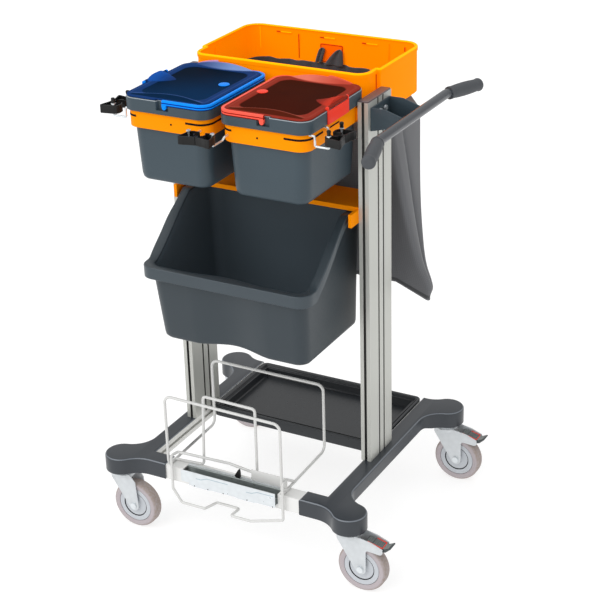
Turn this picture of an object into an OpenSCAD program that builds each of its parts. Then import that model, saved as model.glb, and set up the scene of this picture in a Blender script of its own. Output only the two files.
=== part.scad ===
// Janitor cart: two posts on a castor base, two lidded buckets, a tilted bin, a top tray with a bag,
// a push handle, tool clips and a wire rack. Millimetres, +Z up, floor at z = 0, posts along X.

/* [Posts] */
// Clear width between the two posts
post_gap = 480; // [470:1:500]
// Width of a post across the cart
post_w = 26; // [24:1:30]
// Depth of a post
post_d = 120; // [110:1:130]
// Height of the tops of the posts above the floor
post_top = 1127; // [1100:1:1150]
// Thickness of the caps on the posts
cap_t = 3; // [2:0.5:5]
// Corner radius of the caps
cap_r = 5; // [3:0.5:8]
// Width of the slots in the posts
slot_w = 7; // [6:0.5:9]
// Depth of the slots in the posts
slot_depth = 7; // [5:0.5:8]
// Distance between the paired slots
slot_pitch = 26; // [24:1:30]
// Offset of the paired slots behind the middle of the post
slot_y = 4; // [0:1:8]
// Wall of the hollow extrusions
extrusion_t = 3; // [2.5:0.5:4]

/* [Base] */
// Height of the top of the base covers
deck_z = 203; // [195:1:215]
// Wall of the base covers
cover_t = 3; // [2:0.5:4]
// Size of the square base rails
rail = 40; // [36:1:44]
// How far the side rails stand outside the inner faces of the posts
rail_inset = 3; // [2:0.5:6]
// Distance of the front rail's front face from the posts' middle
front_y = 288; // [280:1:300]
// Distance of the side rails' rear ends from the posts' middle
rear_y = 302; // [298:1:312]
// How much lower the side rails are than the front rail
spine_rise = 8; // [4:1:12]
// Half distance between the inner ends of the cover toes
toe_x = 188; // [180:1:200]
// Reach of the rear pads behind the rail ends
pad_back = 28; // [24:1:34]
// Radius of the hollow between the rear pad and the rail end
heel_fillet = 60; // [45:1:75]
// Radius of the pads over the castors
pad_r = 43; // [40:1:46]
// Radius of the hollow between toe and pad
toe_fillet = 70; // [50:1:80]
// Radius of the hollow between pad and spine
neck_fillet = 60; // [45:1:70]

/* [Rear tray] */
// Front edge of the rear tray behind the posts' middle
shelf_y0 = 25; // [15:1:40]
// Height of the rear tray
shelf_h = 31; // [26:1:34]
// Width of the rear tray's rim
shelf_rim = 12; // [9:1:16]
// Width of the step inside the rim
shelf_step = 7; // [4:1:10]
// Thickness of the rear tray's floor
shelf_floor = 4; // [3:0.5:6]
// Corner radius of the rear tray
shelf_r = 16; // [10:1:24]
// Gap round the rear tray
shelf_gap = 0.4; // [0.2:0.1:1]
// Width of the flat bars under the rear tray
bar_w = 30; // [20:1:40]
// Thickness of the flat bars
bar_t = 8; // [6:0.5:10]

/* [Castors] */
// Half distance between the swivel axes across the cart
castor_x = 320; // [315:1:328]
// Half distance between the swivel axes along the depth
castor_y = 282.5; // [278:0.5:290]
// Diameter of the wheels
wheel_d = 125; // [115:1:128]
// Width of the tyres
tyre_w = 32; // [28:0.5:33]
// Diameter of the wheel hubs
hub_d = 92; // [80:1:98]
// Offset of the axle from the swivel axis
trail = 36; // [30:0.5:40]
// Plate thickness of the forks
fork_t = 3; // [2.5:0.25:4]
// Gap between hub and fork
hub_gap = 0.3; // [0.2:0.05:0.6]
// Diameter of the axles
axle_d = 10; // [8:0.5:12]
// Diameter of the kingpins
kingpin_d = 16; // [14:0.5:18]
// Radius of the swivel heads
head_r = 30; // [27:0.5:33]
// Radial clearance of the running fits
run_fit = 0.05; // [0.02:0.01:0.1]
// Gap between parts that move past each other
move_gap = 0.3; // [0.2:0.05:0.6]
// Width of the brake pedals
pedal_w = 28; // [22:1:30]

/* [Front channel] */
// Length of the sheet steel channel
chan_len = 265; // [220:1:280]
// Middle of the channel off the cart's middle
chan_x = -4.5; // [-15:0.5:10]
// Sheet thickness of the channel
sheet_t = 1.5; // [1:0.1:2]
// Depth of the channel from front to back
chan_d = 31.7; // [26:0.1:34]
// How far the channel stands out in front of the rail
chan_out = 12; // [8:0.5:14]
// How deep the channel sits in the rail
chan_drop = 28; // [20:0.5:32]
// Rise of the channel's front above the rail
chan_rise = 6; // [4:0.5:10]
// Height of the stop on the channel
stop_h = 24; // [16:1:30]

/* [Wire rack] */
// Diameter of the rack's wire
wire_d = 6; // [5:0.25:7]
// Height of the hoops above the rail
hoop_h = 194; // [170:1:210]
// How much lower the back hoop is than the front one
back_drop = 11; // [5:1:20]
// Half width of the hoops
hoop_w = 160; // [150:1:165]
// Middle of the hoops off the cart's middle
hoop_x = -17; // [-22:1:-12]
// Distance of the back hoop in front of the posts' middle
hoop_back = 58; // [50:1:80]
// Distance of the divider hoop in front of the posts' middle
divider_y = 238; // [225:1:245]
// Bend radius of the wire
wire_bend = 18; // [14:1:22]
// Depth of the lower loop under the rail's top
loop_drop = 92; // [80:1:100]
// Gap between the lower loop and the rail
loop_gap = 6; // [4:0.5:8]

/* [Buckets] */
// Height of the bucket rims above the posts
rim_rise = 25; // [15:1:30]
// Depth of a bucket from its rim
bucket_h = 205; // [185:1:210]
// Height of the rim band
band_h = 35; // [30:1:38]
// Width of the rim band
band_w = 226; // [218:1:228]
// Depth of the rim band
band_d = 283; // [270:1:290]
// Gap between the rim band and the posts
bucket_gap = 2.5; // [1:0.5:6]
// Distance of the bucket backs in front of the posts' middle
bucket_back = 10.5; // [8:0.5:20]
// Step from the band in to the ring's outside
ring_in = 5; // [4:0.5:8]
// Wall of the carrying rings
ring_t = 4; // [3:0.5:5]
// Height of the carrying rings
ring_h = 40; // [34:1:44]
// Gap between ring and bucket body
ring_gap = 2.5; // [2:0.5:5]
// How much the bucket body narrows to its bottom on each side
bucket_taper = 7; // [4:0.5:12]
// Wall of the buckets
bucket_t = 3.5; // [2.5:0.5:5]
// Corner radius of the buckets
bucket_r = 30; // [26:1:36]

/* [Lids and bails] */
// Thickness of the lid's border
lid_t = 4; // [3:0.5:5]
// Depth of the skirt under the lid
lid_sink = 10; // [7:0.5:14]
// Wall of the lid's skirt
panel_t = 2.5; // [2:0.5:3]
// Depth of the recess in the lid's top
panel_drop = 1.5; // [1:0.25:2]
// Height of the arch along the lid's back
arch_h = 18; // [10:0.5:18.5]
// Thickness of the arch
arch_t = 5; // [4:0.5:8]
// Thickness of a bail
bail_t = 7.5; // [6:0.5:9]
// Height of a bail
bail_h = 12; // [10:0.5:13]
// Distance of the bail's pivots under the bail
bail_drop = 5; // [4:0.5:6]
// Diameter of the bail's pivots
bail_pin_d = 6; // [5:0.5:7]
// Length of the lid clips
clip_len = 100; // [80:1:120]
// Diameter of the lid hinge pins
hinge_d = 4; // [3:0.5:5]
// Diameter of the discs in the lids
disc_d = 26; // [20:1:32]

/* [Bin] */
// Height of the bracket's shelf above the floor
bracket_z = 868; // [840:1:890]
// Thickness of the bracket's shelf
bracket_t = 6; // [5:0.5:8]
// Thickness of the bracket's side plates
side_t = 8; // [6:0.5:10]
// How far the bracket's wings reach in front of the posts
wing_out = 38; // [30:1:48]
// Height of the wings
wing_h = 32; // [28:1:36]
// Depth of the bin below its back rim
bin_h = 321; // [300:1:330]
// Drop of the bin's front lip below its back rim
lip_drop = 123; // [100:1:140]
// Height of the front lip
lip_h = 30; // [24:1:34]
// Height of the lip at the back
lip_back_h = 14; // [12:0.5:16]
// Half width of the lip
lip_w = 224; // [220:0.5:226]
// How far the lip stands out of the bin's wall
lip_out = 18; // [14:0.5:20]
// Front of the lip in front of the posts' middle
lip_y = 294; // [280:1:305]
// How far the bin's bottom front is set back from the lip
bin_lean = 37; // [30:1:50]
// How much the bin narrows to its bottom on each side
bin_taper = 8; // [4:0.5:12]
// Back of the bin behind the posts' middle
bin_back = 28; // [10:1:40]
// Wall of the bin
bin_t = 4; // [3:0.5:5]
// Corner radius of the bin
bin_r = 34; // [28:1:40]

/* [Top tray] */
// Height of the tray's top above the posts
tray_rise = 44; // [40:1:50]
// Height of the top tray
tray_h = 114; // [105:1:120]
// How far the tray's sides stand inside the posts' inner faces
tray_side = 2; // [0:0.5:6]
// Gap between the tray and the posts
tray_gap = 2; // [1:0.5:6]
// How far the tongue's sides stand inside the posts' inner faces
tongue_side = 12; // [8:1:18]
// Front of the tongue behind the posts' middle
tongue_y = 2; // [0:1:8]
// Back of the tray behind the posts' middle
tray_back = 296; // [280:1:305]
// Wall of the top tray
tray_t = 6; // [5:0.5:7]
// Corner radius at the back of the tray
tray_r = 42; // [36:1:50]
// Corner radius of the tongue
tongue_r = 30; // [24:1:36]
// Height of the tray's rolled rim
roll_h = 12; // [8:1:16]
// How far the rolled rim stands out
roll_out = 2; // [1:0.5:4]
// Width of the ledge that carries the bag
ledge_w = 12; // [10:0.5:14]
// Thickness of the tray's floor and ledge
ledge_t = 4; // [3:0.5:5]
// Size of the upper cross beam
beam = 40; // [34:1:44]

/* [Bag] */
// Height of the hem above the ledge
hem_h = 32; // [24:1:40]
// Half width of the bag at its bottom
bag_w = 318; // [290:1:330]
// Depth of the bag below the tray
bag_h = 490; // [420:1:540]
// Cloth thickness of the bag's solid
bag_t = 3; // [2:0.5:4]
// Half thickness of the bag at its bottom
bag_foot = 12; // [8:0.5:16]
// Gap between the bag and the tray
bag_gap = 1; // [0.5:0.25:2]

/* [Handle] */
// Diameter of the handle tube
tube_d = 23; // [20:0.5:25]
// Distance of the handle tube from the outer face of the post
tube_out = 84; // [70:1:95]
// Distance of the handle tube below the tops of the posts
tube_drop = 37; // [32:1:45]
// Half length of the straight middle of the handle
tube_mid = 172; // [160:1:185]
// Bend radius of the handle
tube_bend = 60; // [45:1:80]
// Bend angle of the handle's ends
tube_turn = 16; // [10:1:22]
// Tilt of the handle's ends
tube_tilt = 11; // [0:1:20]
// Length of a grip
grip_len = 118; // [100:1:130]
// Diameter of a grip at its thickest
grip_d = 33; // [30:0.5:36]
// Wall of the handle bracket
bracket_wall = 5; // [4:0.5:6]
// Half distance between the outsides of the bracket's arms
bracket_half = 49; // [42:1:54]
// Height of the bracket at the post
bracket_h = 50; // [44:1:56]

/* [Tool clips] */
// Diameter of the tool handles that the clips hold
tool_d = 24; // [20:0.5:26]
// Height of a jaw
jaw_h = 24; // [20:1:28]
// Distance between the pivots of a clip
jaw_pitch = 60; // [56:1:66]
// Diameter of the clip arms
arm_d = 5; // [4:0.25:6]
// Height of the jaws' middle below the tops of the posts
jaw_drop = 22; // [18:1:26]
// Distance of a side clip's middle outside the ring
clip_out = 46; // [44:1:56]
// Distance of the right clip's middle in front of the posts' middle
clip_right_y = 240; // [220:1:250]
// Distance of the left clip's middle in front of the posts' middle
clip_left_y = 240; // [220:1:250]
// Distance of the front clip's middle outside the ring
clip_front_out = 56; // [50:1:66]
// How much lower the front clip sits than the side clips
clip_front_drop = 7; // [0:1:10]

/* [Hidden] */
$fn = 48;
eps = 0.01;

// Colours of the finishes
dark_plastic = "#4b525a";
orange_plastic = "#ff9a00";
blue_plastic = "#0a6fe6";
red_plastic = "#ee3a30";
black_plastic = "#1c1c1c";
alloy = "#d4d6d2";
white_coat = "#e6e6e2";
zinc = "#dfe6ea";
tread_grey = "#b5adb0";
hub_grey = "#d5d8dc";
cloth = "#686868";

// Faces of the posts and the rails
post_in = post_gap / 2;
post_out = post_in + post_w;
rail_in = post_in + rail_inset;
rail_out = rail_in + rail;
rail_top = deck_z - cover_t;
rail_bot = rail_top - rail;
rail_back = -front_y + rail;

// Castor heights, from the floor up
axle_z = wheel_d / 2;
head_top = rail_bot - move_gap;
head_h = 10;
crown_h = 10;
crown_top = head_top - head_h;
crown_bot = crown_top - crown_h;
fork_in = tyre_w / 2 + 1.5;
fork_out = fork_in + fork_t;
leg_r = 14;
pedal_pivot = [trail + 17, axle_z + 70];
pedal_pin_d = 6;
corners = [[-1, -1], [1, -1], [-1, 1], [1, 1]];

// Buckets: middle of the right one, rim height and half sizes
bucket_x = post_in - bucket_gap - band_w / 2;
bucket_y = -bucket_back - band_d / 2;
rim_z = post_top + rim_rise;
rim_seat = rim_z - lid_t;
band_z = rim_z - band_h;
band = [band_w / 2, band_d / 2];
ring_half = [band[0] - ring_in, band[1] - ring_in];
body_top = [ring_half[0] - ring_t - ring_gap, ring_half[1] - ring_t - ring_gap];
body_bot = [body_top[0] - bucket_taper, body_top[1] - bucket_taper];
bucket_bot = rim_z - bucket_h;
ring_z = band_z - ring_h;
bail_pad = 0.5;
bail_out = [band[0] - bail_pad, band[1] - bail_pad];
bail_in = [bail_out[0] - bail_t, bail_out[1] - bail_t];
bail_top = rim_z - 1;
bail_bot = bail_top - bail_h;
pivot_z = bail_bot - bail_drop;
hook_half = 5;
lid_in = [bail_in[0] - 1, bail_in[1] - 1];
hinge_x = band[0] - 1;
hinge_z = rim_z + 1;
barrel_r = hinge_d / 2 + 2;
lid_out = [hinge_x - barrel_r - 0.5, band[1] - 3];
ear_w = 5;

// Bin and bracket heights
bin_top = bracket_z - bracket_t - 4;
bin_bot = bin_top - bin_h;
ledge_top = bin_top - lip_back_h - move_gap;
lip_ramp = [49, 209];

// Top tray heights
tray_w = post_in - tray_side;
tongue_w = post_in - tongue_side;
tray_top = post_top + tray_rise;
tray_bot = tray_top - tray_h;
shoulder_y = post_d / 2 + tray_gap;
bag_front = shoulder_y + tray_t + ledge_w;
bag_back = tray_back - tray_t - ledge_w;
bag_side = tray_w - tray_t - ledge_w;
bag_mid = (bag_front + bag_back) / 2;
bag_mouth = [bag_side - bag_gap, (bag_back - bag_front) / 2 - bag_gap];
sack_r = 22;
hem_lo = [-tray_w + tray_t + bag_gap, shoulder_y + tray_t + bag_gap];
hem_hi = [tray_w - tray_t - bag_gap, tray_back - tray_t - bag_gap];
hem_z = tray_bot + ledge_t;
hem_r = tray_r - tray_t - bag_gap;

// Handle axis
tube_x = post_out + tube_out;
tube_z = post_top - tube_drop;
bolt_d = 6;
bolt_ys = [slot_y - slot_pitch / 2, slot_y + slot_pitch / 2];
bolt_zs = [tube_z - 20, tube_z + 6];

// Tool clips: [middle x, middle y, turn of the outward side, lift]
jaw_mid = post_top - jaw_drop;
jaw_bot = jaw_mid - jaw_h / 2;
ring_face = bucket_x + ring_half[0];
clip_right = [ring_face + clip_out, -clip_right_y, 0, 0];
clip_left = [-ring_face - clip_out, -clip_left_y, 180, 0];
clip_front = [0, bucket_y - ring_half[1] - clip_front_out, -90, -clip_front_drop];

// Points of an arc from angle a0 to a1
function arc(c, r, a0, a1, n = 6) =
    [for (i = [0:n]) let (a = a0 + (a1 - a0) * i / n) [c[0] + r * cos(a), c[1] + r * sin(a)]];

// Outline of a rectangle with round corners, from its two corner points
function round_box(lo, hi, r, n = 6) = concat(
    arc([hi[0] - r, hi[1] - r], r, 0, 90, n),
    arc([lo[0] + r, hi[1] - r], r, 90, 180, n),
    arc([lo[0] + r, lo[1] + r], r, 180, 270, n),
    arc([hi[0] - r, lo[1] + r], r, 270, 360, n));

// The same outline round the origin from half sizes
function round_rect(half, r, n = 6) = round_box(-half, half, r, n);

function at_z(pts, z) = [for (p = pts) [p[0], p[1], z]];
function unit(v) = v / norm(v);

// Points that round the corner b between a and c with radius r
function corner(a, b, c, r, n = 4) =
    let (u = unit(a - b),
         v = unit(c - b),
         half = acos(max(-1, min(1, u * v))) / 2,
         reach = r / tan(half),
         mid = b + unit(u + v) * r / sin(half),
         e = unit(b + u * reach - mid),
         far = b + v * reach - mid,
         g = unit(far - e * (far * e)))
    [for (i = [0:n]) let (t = (180 - 2 * half) * i / n) mid + r * (e * cos(t) + g * sin(t))];

// A path of straight runs with its inner corners rounded
function bent(pts, r) = concat(
    [pts[0]],
    [for (i = [1:len(pts) - 2]) each corner(pts[i - 1], pts[i], pts[i + 1], r)],
    [pts[len(pts) - 1]]);

// Directions along a path, and normals carried along it without twist
function heading(p, i) = unit(p[min(i + 1, len(p) - 1)] - p[max(i - 1, 0)]);
function square_to(t) = unit(abs(t[2]) < 0.9 ? cross(t, [0, 0, 1]) : cross(t, [1, 0, 0]));
function carried(p, i, list) =
    i == len(p) ? list
    : let (t = heading(p, i), last = list[len(list) - 1])
      carried(p, i + 1, concat(list, [unit(last - t * (last * t))]));

// A closed skin over a list of rings with equal numbers of points
module loft(rings) {
    n = len(rings[0]);
    m = len(rings);
    quads = [for (k = [0:m - 2], i = [0:n - 1])
        let (a = k * n + i, b = k * n + (i + 1) % n) [a, a + n, b + n, b]];
    faces = concat(
        [[for (i = [0:n - 1]) i]],
        [for (q = quads) each [[q[0], q[1], q[2]], [q[0], q[2], q[3]]]],
        [[for (i = [n - 1:-1:0]) (m - 1) * n + i]]);
    polyhedron([for (r = rings) each r], faces, convexity = 12);
}

// A round wire of diameter d along a path
module wire(path, d, sides = 8) {
    normals = carried(path, 1, [square_to(heading(path, 0))]);
    rings = [for (i = [0:len(path) - 1])
        let (t = heading(path, i), u = normals[i], v = cross(t, u))
        [for (k = [0:sides - 1]) let (a = 360 * k / sides) path[i] + d / 2 * (u * cos(a) + v * sin(a))]];
    loft(rings);
}

// A prism of an outline in X and Z, centred on y = 0
module upright(pts, w) {
    translate([0, w / 2, 0]) rotate([90, 0, 0]) linear_extrude(w) polygon(pts);
}

// A prism of an outline in Y and Z, centred on x = 0
module across(pts, w) {
    translate([-w / 2, 0, 0]) rotate([90, 0, 90]) linear_extrude(w) polygon(pts);
}

module box(lo, hi) {
    translate(lo) cube(hi - lo);
}

module rod_y(d, y0, y1) {
    translate([0, y1, 0]) rotate([90, 0, 0]) cylinder(d = d, h = y1 - y0);
}

// Base frame
module side_rails() {
    slot = 8;
    slot_in = 10;
    low = rail_bot + spine_rise;
    mid = (low + rail_top) / 2;
    color(alloy) for (s = [0, 1]) mirror([s, 0, 0]) difference() {
        box([rail_in, rail_back, low], [rail_out, rear_y, rail_top]);
        box([rail_in + slot_in + extrusion_t, rail_back - 1, low + extrusion_t],
            [rail_out - extrusion_t, rear_y + 1, rail_top - extrusion_t]);
        box([rail_in - 1, rail_back - 1, mid - slot / 2], [rail_in + slot_in, rear_y + 1, mid + slot / 2]);
    }
}

module front_rail() {
    color(white_coat) difference() {
        box([-rail_out, -front_y, rail_bot], [rail_out, rail_back, rail_top]);
        box([-rail_out - 1, -front_y + extrusion_t, rail_bot + extrusion_t],
            [rail_out + 1, rail_back - extrusion_t, rail_top - extrusion_t]);
        box([chan_x - chan_len / 2 - 1, -front_y - 1, rail_top - chan_drop],
            [chan_x + chan_len / 2 + 1, -front_y - chan_out + chan_d, rail_top + 1]);
    }
}

// Flat bars between the side rails, under the rear tray
module cross_rails() {
    bar_z = deck_z - shelf_h;
    first = shelf_y0 + bar_w / 2;
    step = (rear_y - first - bar_w) / 2;
    color(alloy) for (k = [0:2])
        translate([0, first + k * step, 0]) box([-rail_in, 0, bar_z - bar_t], [rail_in, bar_w, bar_z]);
}

// Outline of the right cover, drawn in by i on the faces that show
function cover_outline(i) =
    let (pad_f = [castor_x, -castor_y - cover_t],
         pad_b = [castor_x, rear_y + pad_back - pad_r],
         r = pad_r - i,
         tf = toe_fillet + i,
         nf = neck_fillet + i,
         hf = heel_fillet + i,
         toe_y = -front_y - cover_t + i,
         heel_y = rear_y + cover_t - i,
         spine = rail_out + cover_t - i,
         toe_c = [pad_f[0] - sqrt(pow(tf + r, 2) - pow(pad_f[1] - toe_y + tf, 2)), toe_y - tf],
         toe_a = atan2(pad_f[1] - toe_c[1], pad_f[0] - toe_c[0]),
         heel_c = [pad_b[0] - sqrt(pow(hf + r, 2) - pow(heel_y + hf - pad_b[1], 2)), heel_y + hf],
         heel_a = atan2(pad_b[1] - heel_c[1], pad_b[0] - heel_c[0]),
         neck_dx = spine + nf - castor_x,
         neck_dy = sqrt(pow(nf + r, 2) - pow(neck_dx, 2)),
         neck_a = atan2(neck_dy, neck_dx),
         open = i > 0 ? 1 : 0)
    concat(
        [[toe_x - open, rail_back + cover_t - i], [toe_x - open, toe_y]],
        arc(toe_c, tf, 90, toe_a),
        arc(pad_f, r, toe_a + 180, 360 + neck_a, 18),
        arc([spine + nf, pad_f[1] + neck_dy], nf, 180 + neck_a, 180, 6),
        arc([spine + nf, pad_b[1] - neck_dy], nf, 180, 180 - neck_a, 6),
        arc(pad_b, r, 360 - neck_a, 540 + heel_a, 18),
        arc(heel_c, hf, heel_a, -90),
        [[rail_in - open, heel_y], [rail_in - open, rail_back + cover_t - i]]);

module base_cover() {
    neck = castor_y - pad_r - neck_fillet / 2;
    color(dark_plastic) difference() {
        translate([0, 0, rail_bot]) linear_extrude(deck_z - rail_bot) polygon(cover_outline(0));
        translate([0, 0, rail_bot - 1]) linear_extrude(rail + 1) polygon(cover_outline(cover_t));
        box([rail_in - 1, -neck, rail_bot - 1], [rail_out + neck_fillet, neck, rail_bot + spine_rise]);
    }
}

module right_base_cover() {
    base_cover();
}

module left_base_cover() {
    mirror([1, 0, 0]) base_cover();
}

module rear_tray() {
    lo = [-post_in + shelf_gap, shelf_y0];
    hi = [post_in - shelf_gap, rear_y];
    bottom = deck_z - shelf_h;
    step = [shelf_rim, shelf_rim];
    well = step + [shelf_step, shelf_step];
    color(black_plastic) difference() {
        translate([0, 0, bottom]) linear_extrude(shelf_h) polygon(round_box(lo, hi, shelf_r));
        translate([0, 0, deck_z - 6]) linear_extrude(7) polygon(round_box(lo + step, hi - step, shelf_r));
        translate([0, 0, bottom + shelf_floor]) linear_extrude(shelf_h)
            polygon(round_box(lo + well, hi - well, shelf_r));
    }
}

// Sheet channel in the front rail, and the stop on its back flange
module mop_channel() {
    y0 = -front_y - chan_out;
    y1 = y0 + chan_d - move_gap;
    z0 = rail_top - chan_drop + move_gap;
    flange = 10;
    skirt = 7;
    profile = [
        [y0, z0 - skirt], [y0 + sheet_t, z0 - skirt], [y0 + sheet_t, z0], [y1, z0], [y1, rail_top],
        [y1 + flange, rail_top], [y1 + flange, rail_top + sheet_t], [y1 - sheet_t, rail_top + sheet_t],
        [y1 - sheet_t, z0 + sheet_t], [y0 + sheet_t, z0 + sheet_t], [y0 + sheet_t, rail_top + chan_rise],
        [y0, rail_top + chan_rise]];
    color(zinc) translate([chan_x, 0, 0]) across(profile, chan_len);
}

module channel_stop() {
    y1 = -front_y - chan_out + chan_d;
    z0 = rail_top + sheet_t;
    profile = [[y1 - sheet_t, z0], [y1 + 9, z0], [y1 + 5, z0 + stop_h], [y1 + 2, z0 + stop_h]];
    color(black_plastic) translate([chan_x + 12, 0, 0]) across(profile, 14);
}

// White wire rack: hoops standing on the front rail, a divider, a loop under the rail and a plate
module wire_rack() {
    z0 = rail_top + wire_d / 2;
    z1 = z0 + hoop_h;
    z2 = z1 - back_drop;
    yf = -front_y - 3;
    yb = -hoop_back;
    lean = 7;
    xl = hoop_x - hoop_w;
    xr = hoop_x + hoop_w;
    start = [xl - lean / 2, (yf + yb) / 2, z0];
    frame_path = bent([
        start, [xl, yf, z0], [xl, yf, z1], [xr, yf, z1 - lean / 2], [xr, yf, z0], [xr - lean, yb, z0],
        [xr - lean, yb, z2], [xl - lean, yb, z2], [xl - lean, yb, z0], start], wire_bend);
    dl = hoop_x - 83;
    dr = hoop_x + 62;
    divider_path = bent([
        [xl - 1, -divider_y - 20, z0], [dl, -divider_y - 12, z0], [dl, -divider_y, z1 - 9],
        [dr, -divider_y, z1 - 11], [dr, -divider_y, z0]], wire_bend / 2);
    yl = -front_y - loop_gap - wire_d / 2;
    zl = rail_top - loop_drop;
    notch = 37;
    rise = 34;
    loop_path = bent([
        [dr, -divider_y, z0 + 4], [hoop_x - 15, -divider_y - 4, z0 + 16], [xl + 18, yl + 22, z0 + rise],
        [xl + 13, yl, z0 + rise], [xl + 12, yl, zl + 35], [xl + 36, yl, zl], [hoop_x - 58, yl, zl],
        [hoop_x - 45, yl + notch, zl], [hoop_x + 20, yl + notch, zl], [hoop_x + 16, yl, zl],
        [hoop_x + 72, yl, zl], [xr + 4, yl, zl + 28], [xr + 6, yl, z0 + rise],
        [xr + 3, yl + 24, z0 + rise], [xr - 5, yl + 74, z0]], wire_bend / 3);
    color(white_coat) union() {
        wire(frame_path, wire_d);
        wire(divider_path, wire_d);
        wire(loop_path, wire_d);
        box([dr - 2, -divider_y - 26, z0], [xr - 1, -divider_y - 23, z0 + 30]);
        wire([[dr, -divider_y + 1, z0 + 5], [dr, -divider_y - 25, z0 + 5]], wire_d);
    }
}

// Posts: hollow extrusions with slots, caps and the cross beam between them
module post_section() {
    half = post_d / 2;
    ys = [slot_y - slot_pitch / 2, slot_y + slot_pitch / 2];
    web = slot_w / 2 + extrusion_t;
    difference() {
        translate([0, -half]) square([post_w, post_d]);
        for (y = ys, x = [-1, post_w - slot_depth])
            translate([x, y - slot_w / 2]) square([slot_depth + 1, slot_w]);
        for (y = [-half - 1, half - slot_depth])
            translate([post_w / 2 - slot_w / 2, y]) square([slot_w, slot_depth + 1]);
        translate([extrusion_t, -half + slot_depth + extrusion_t])
            square([post_w - 2 * extrusion_t, ys[0] - web + half - slot_depth - extrusion_t]);
        translate([extrusion_t, ys[1] + web])
            square([post_w - 2 * extrusion_t, half - slot_depth - extrusion_t - ys[1] - web]);
    }
}

module post() {
    color(alloy) translate([post_in, 0, deck_z]) linear_extrude(post_top - deck_z) post_section();
}

module right_post() {
    post();
}

module left_post() {
    mirror([1, 0, 0]) post();
}

module post_caps() {
    color(dark_plastic) for (s = [-1, 1])
        translate([s * (post_in + post_w / 2), 0, post_top])
            linear_extrude(cap_t) polygon(round_rect([post_w / 2, post_d / 2], cap_r));
}

module upper_beam() {
    color(alloy) difference() {
        box([-post_in, tongue_y, tray_bot - beam], [post_in, tongue_y + beam, tray_bot]);
        box([-post_in - 1, tongue_y + extrusion_t, tray_bot - beam + extrusion_t],
            [post_in + 1, tongue_y + beam - extrusion_t, tray_bot - extrusion_t]);
    }
}

// Orange bracket: a shelf between the posts, wings in front of them and runners for the bin's lip
module bin_bracket() {
    front = -post_d / 2;
    low = bracket_z - wing_h;
    ridge = 5;
    color(orange_plastic) {
        box([-post_in, front, bracket_z - bracket_t], [post_in, post_d / 2, bracket_z]);
        box([-post_in, front, bracket_z - eps], [post_in, front + ridge, bracket_z + ridge]);
        for (s = [0, 1]) mirror([s, 0, 0]) {
            box([post_in - side_t, front - wing_out, low], [post_in, post_d / 2, bracket_z]);
            box([lip_w - lip_out + 3, front - 16, low], [post_in, bin_back - 8, ledge_top]);
        }
    }
}

// Carrying rings: a band round the bucket, a lug to the post and a hanger to the cross beam
module bucket_ring() {
    inner = ring_half - [ring_t, ring_t];
    back = bucket_y + ring_half[1];
    slot_z = ring_z + ring_h * 0.62;
    slot_h = 5;
    slot_len = 40;
    side_len = 90;
    hole_d = 5;
    lug_y = [-post_d / 2 + 6, back - 8];
    hang_half = 40;
    hang_z = tray_bot - beam + 6;
    color(orange_plastic) difference() {
        union() {
            translate([bucket_x, bucket_y, ring_z]) linear_extrude(ring_h) difference() {
                polygon(round_rect(ring_half, bucket_r));
                polygon(round_rect(inner, bucket_r - ring_t));
            }
            box([ring_face - ring_t, lug_y[0], ring_z + 4], [post_in, lug_y[1], band_z - 6]);
            box([bucket_x - hang_half, back - ring_t, hang_z], [bucket_x + hang_half, back, band_z - 6]);
            box([bucket_x - hang_half, back - ring_t, hang_z],
                [bucket_x + hang_half, tongue_y, tray_bot - 6]);
        }
        for (s = [-1, 1])
            translate([bucket_x + s * (ring_half[0] - bucket_r), bucket_y - ring_half[1], slot_z])
                box([-slot_len / 2, -1, 0], [slot_len / 2, ring_t + 1, slot_h]);
        translate([ring_face - ring_t - 1, bucket_y - ring_half[1] + bucket_r, slot_z])
            cube([ring_t + 2, side_len, slot_h]);
        translate([bucket_x - slot_len / 3, bucket_y - ring_half[1] - 1, slot_z - 2 * slot_h])
            rotate([-90, 0, 0]) cylinder(d = hole_d, h = ring_t + 2);
    }
}

module right_bucket_ring() {
    bucket_ring();
}

module left_bucket_ring() {
    mirror([1, 0, 0]) bucket_ring();
}

// Outline of the top tray: a wide part behind the posts and a tongue between them, drawn in by i
function tray_outline(i) = concat(
    arc([tray_w - tray_r, tray_back - tray_r], tray_r - i, 0, 90),
    arc([-tray_w + tray_r, tray_back - tray_r], tray_r - i, 90, 180),
    [[-tray_w + i, shoulder_y + i], [-tongue_w + i, shoulder_y + i]],
    arc([-tongue_w + tongue_r, tongue_y + tongue_r], tongue_r - i, 180, 270),
    arc([tongue_w - tongue_r, tongue_y + tongue_r], tongue_r - i, 270, 360),
    [[tongue_w - i, shoulder_y + i], [tray_w - i, shoulder_y + i]]);

module top_tray() {
    window = [62, 48];
    window_z = tray_bot + 37;
    color(orange_plastic) difference() {
        union() {
            translate([0, 0, tray_bot]) linear_extrude(tray_h) polygon(tray_outline(0));
            translate([0, 0, tray_top - roll_h]) linear_extrude(roll_h) polygon(tray_outline(-roll_out));
        }
        translate([0, 0, tray_bot + ledge_t]) linear_extrude(tray_h) polygon(tray_outline(tray_t));
        translate([0, 0, tray_bot - 1]) linear_extrude(ledge_t + 2)
            polygon(round_box([-bag_side, bag_front], [bag_side, bag_back], tray_r - tray_t - ledge_w));
        translate([-window[0] / 2, tray_back - tray_t - 1, window_z])
            cube([window[0], tray_t / 2 + 1, window[1]]);
    }
}

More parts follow.
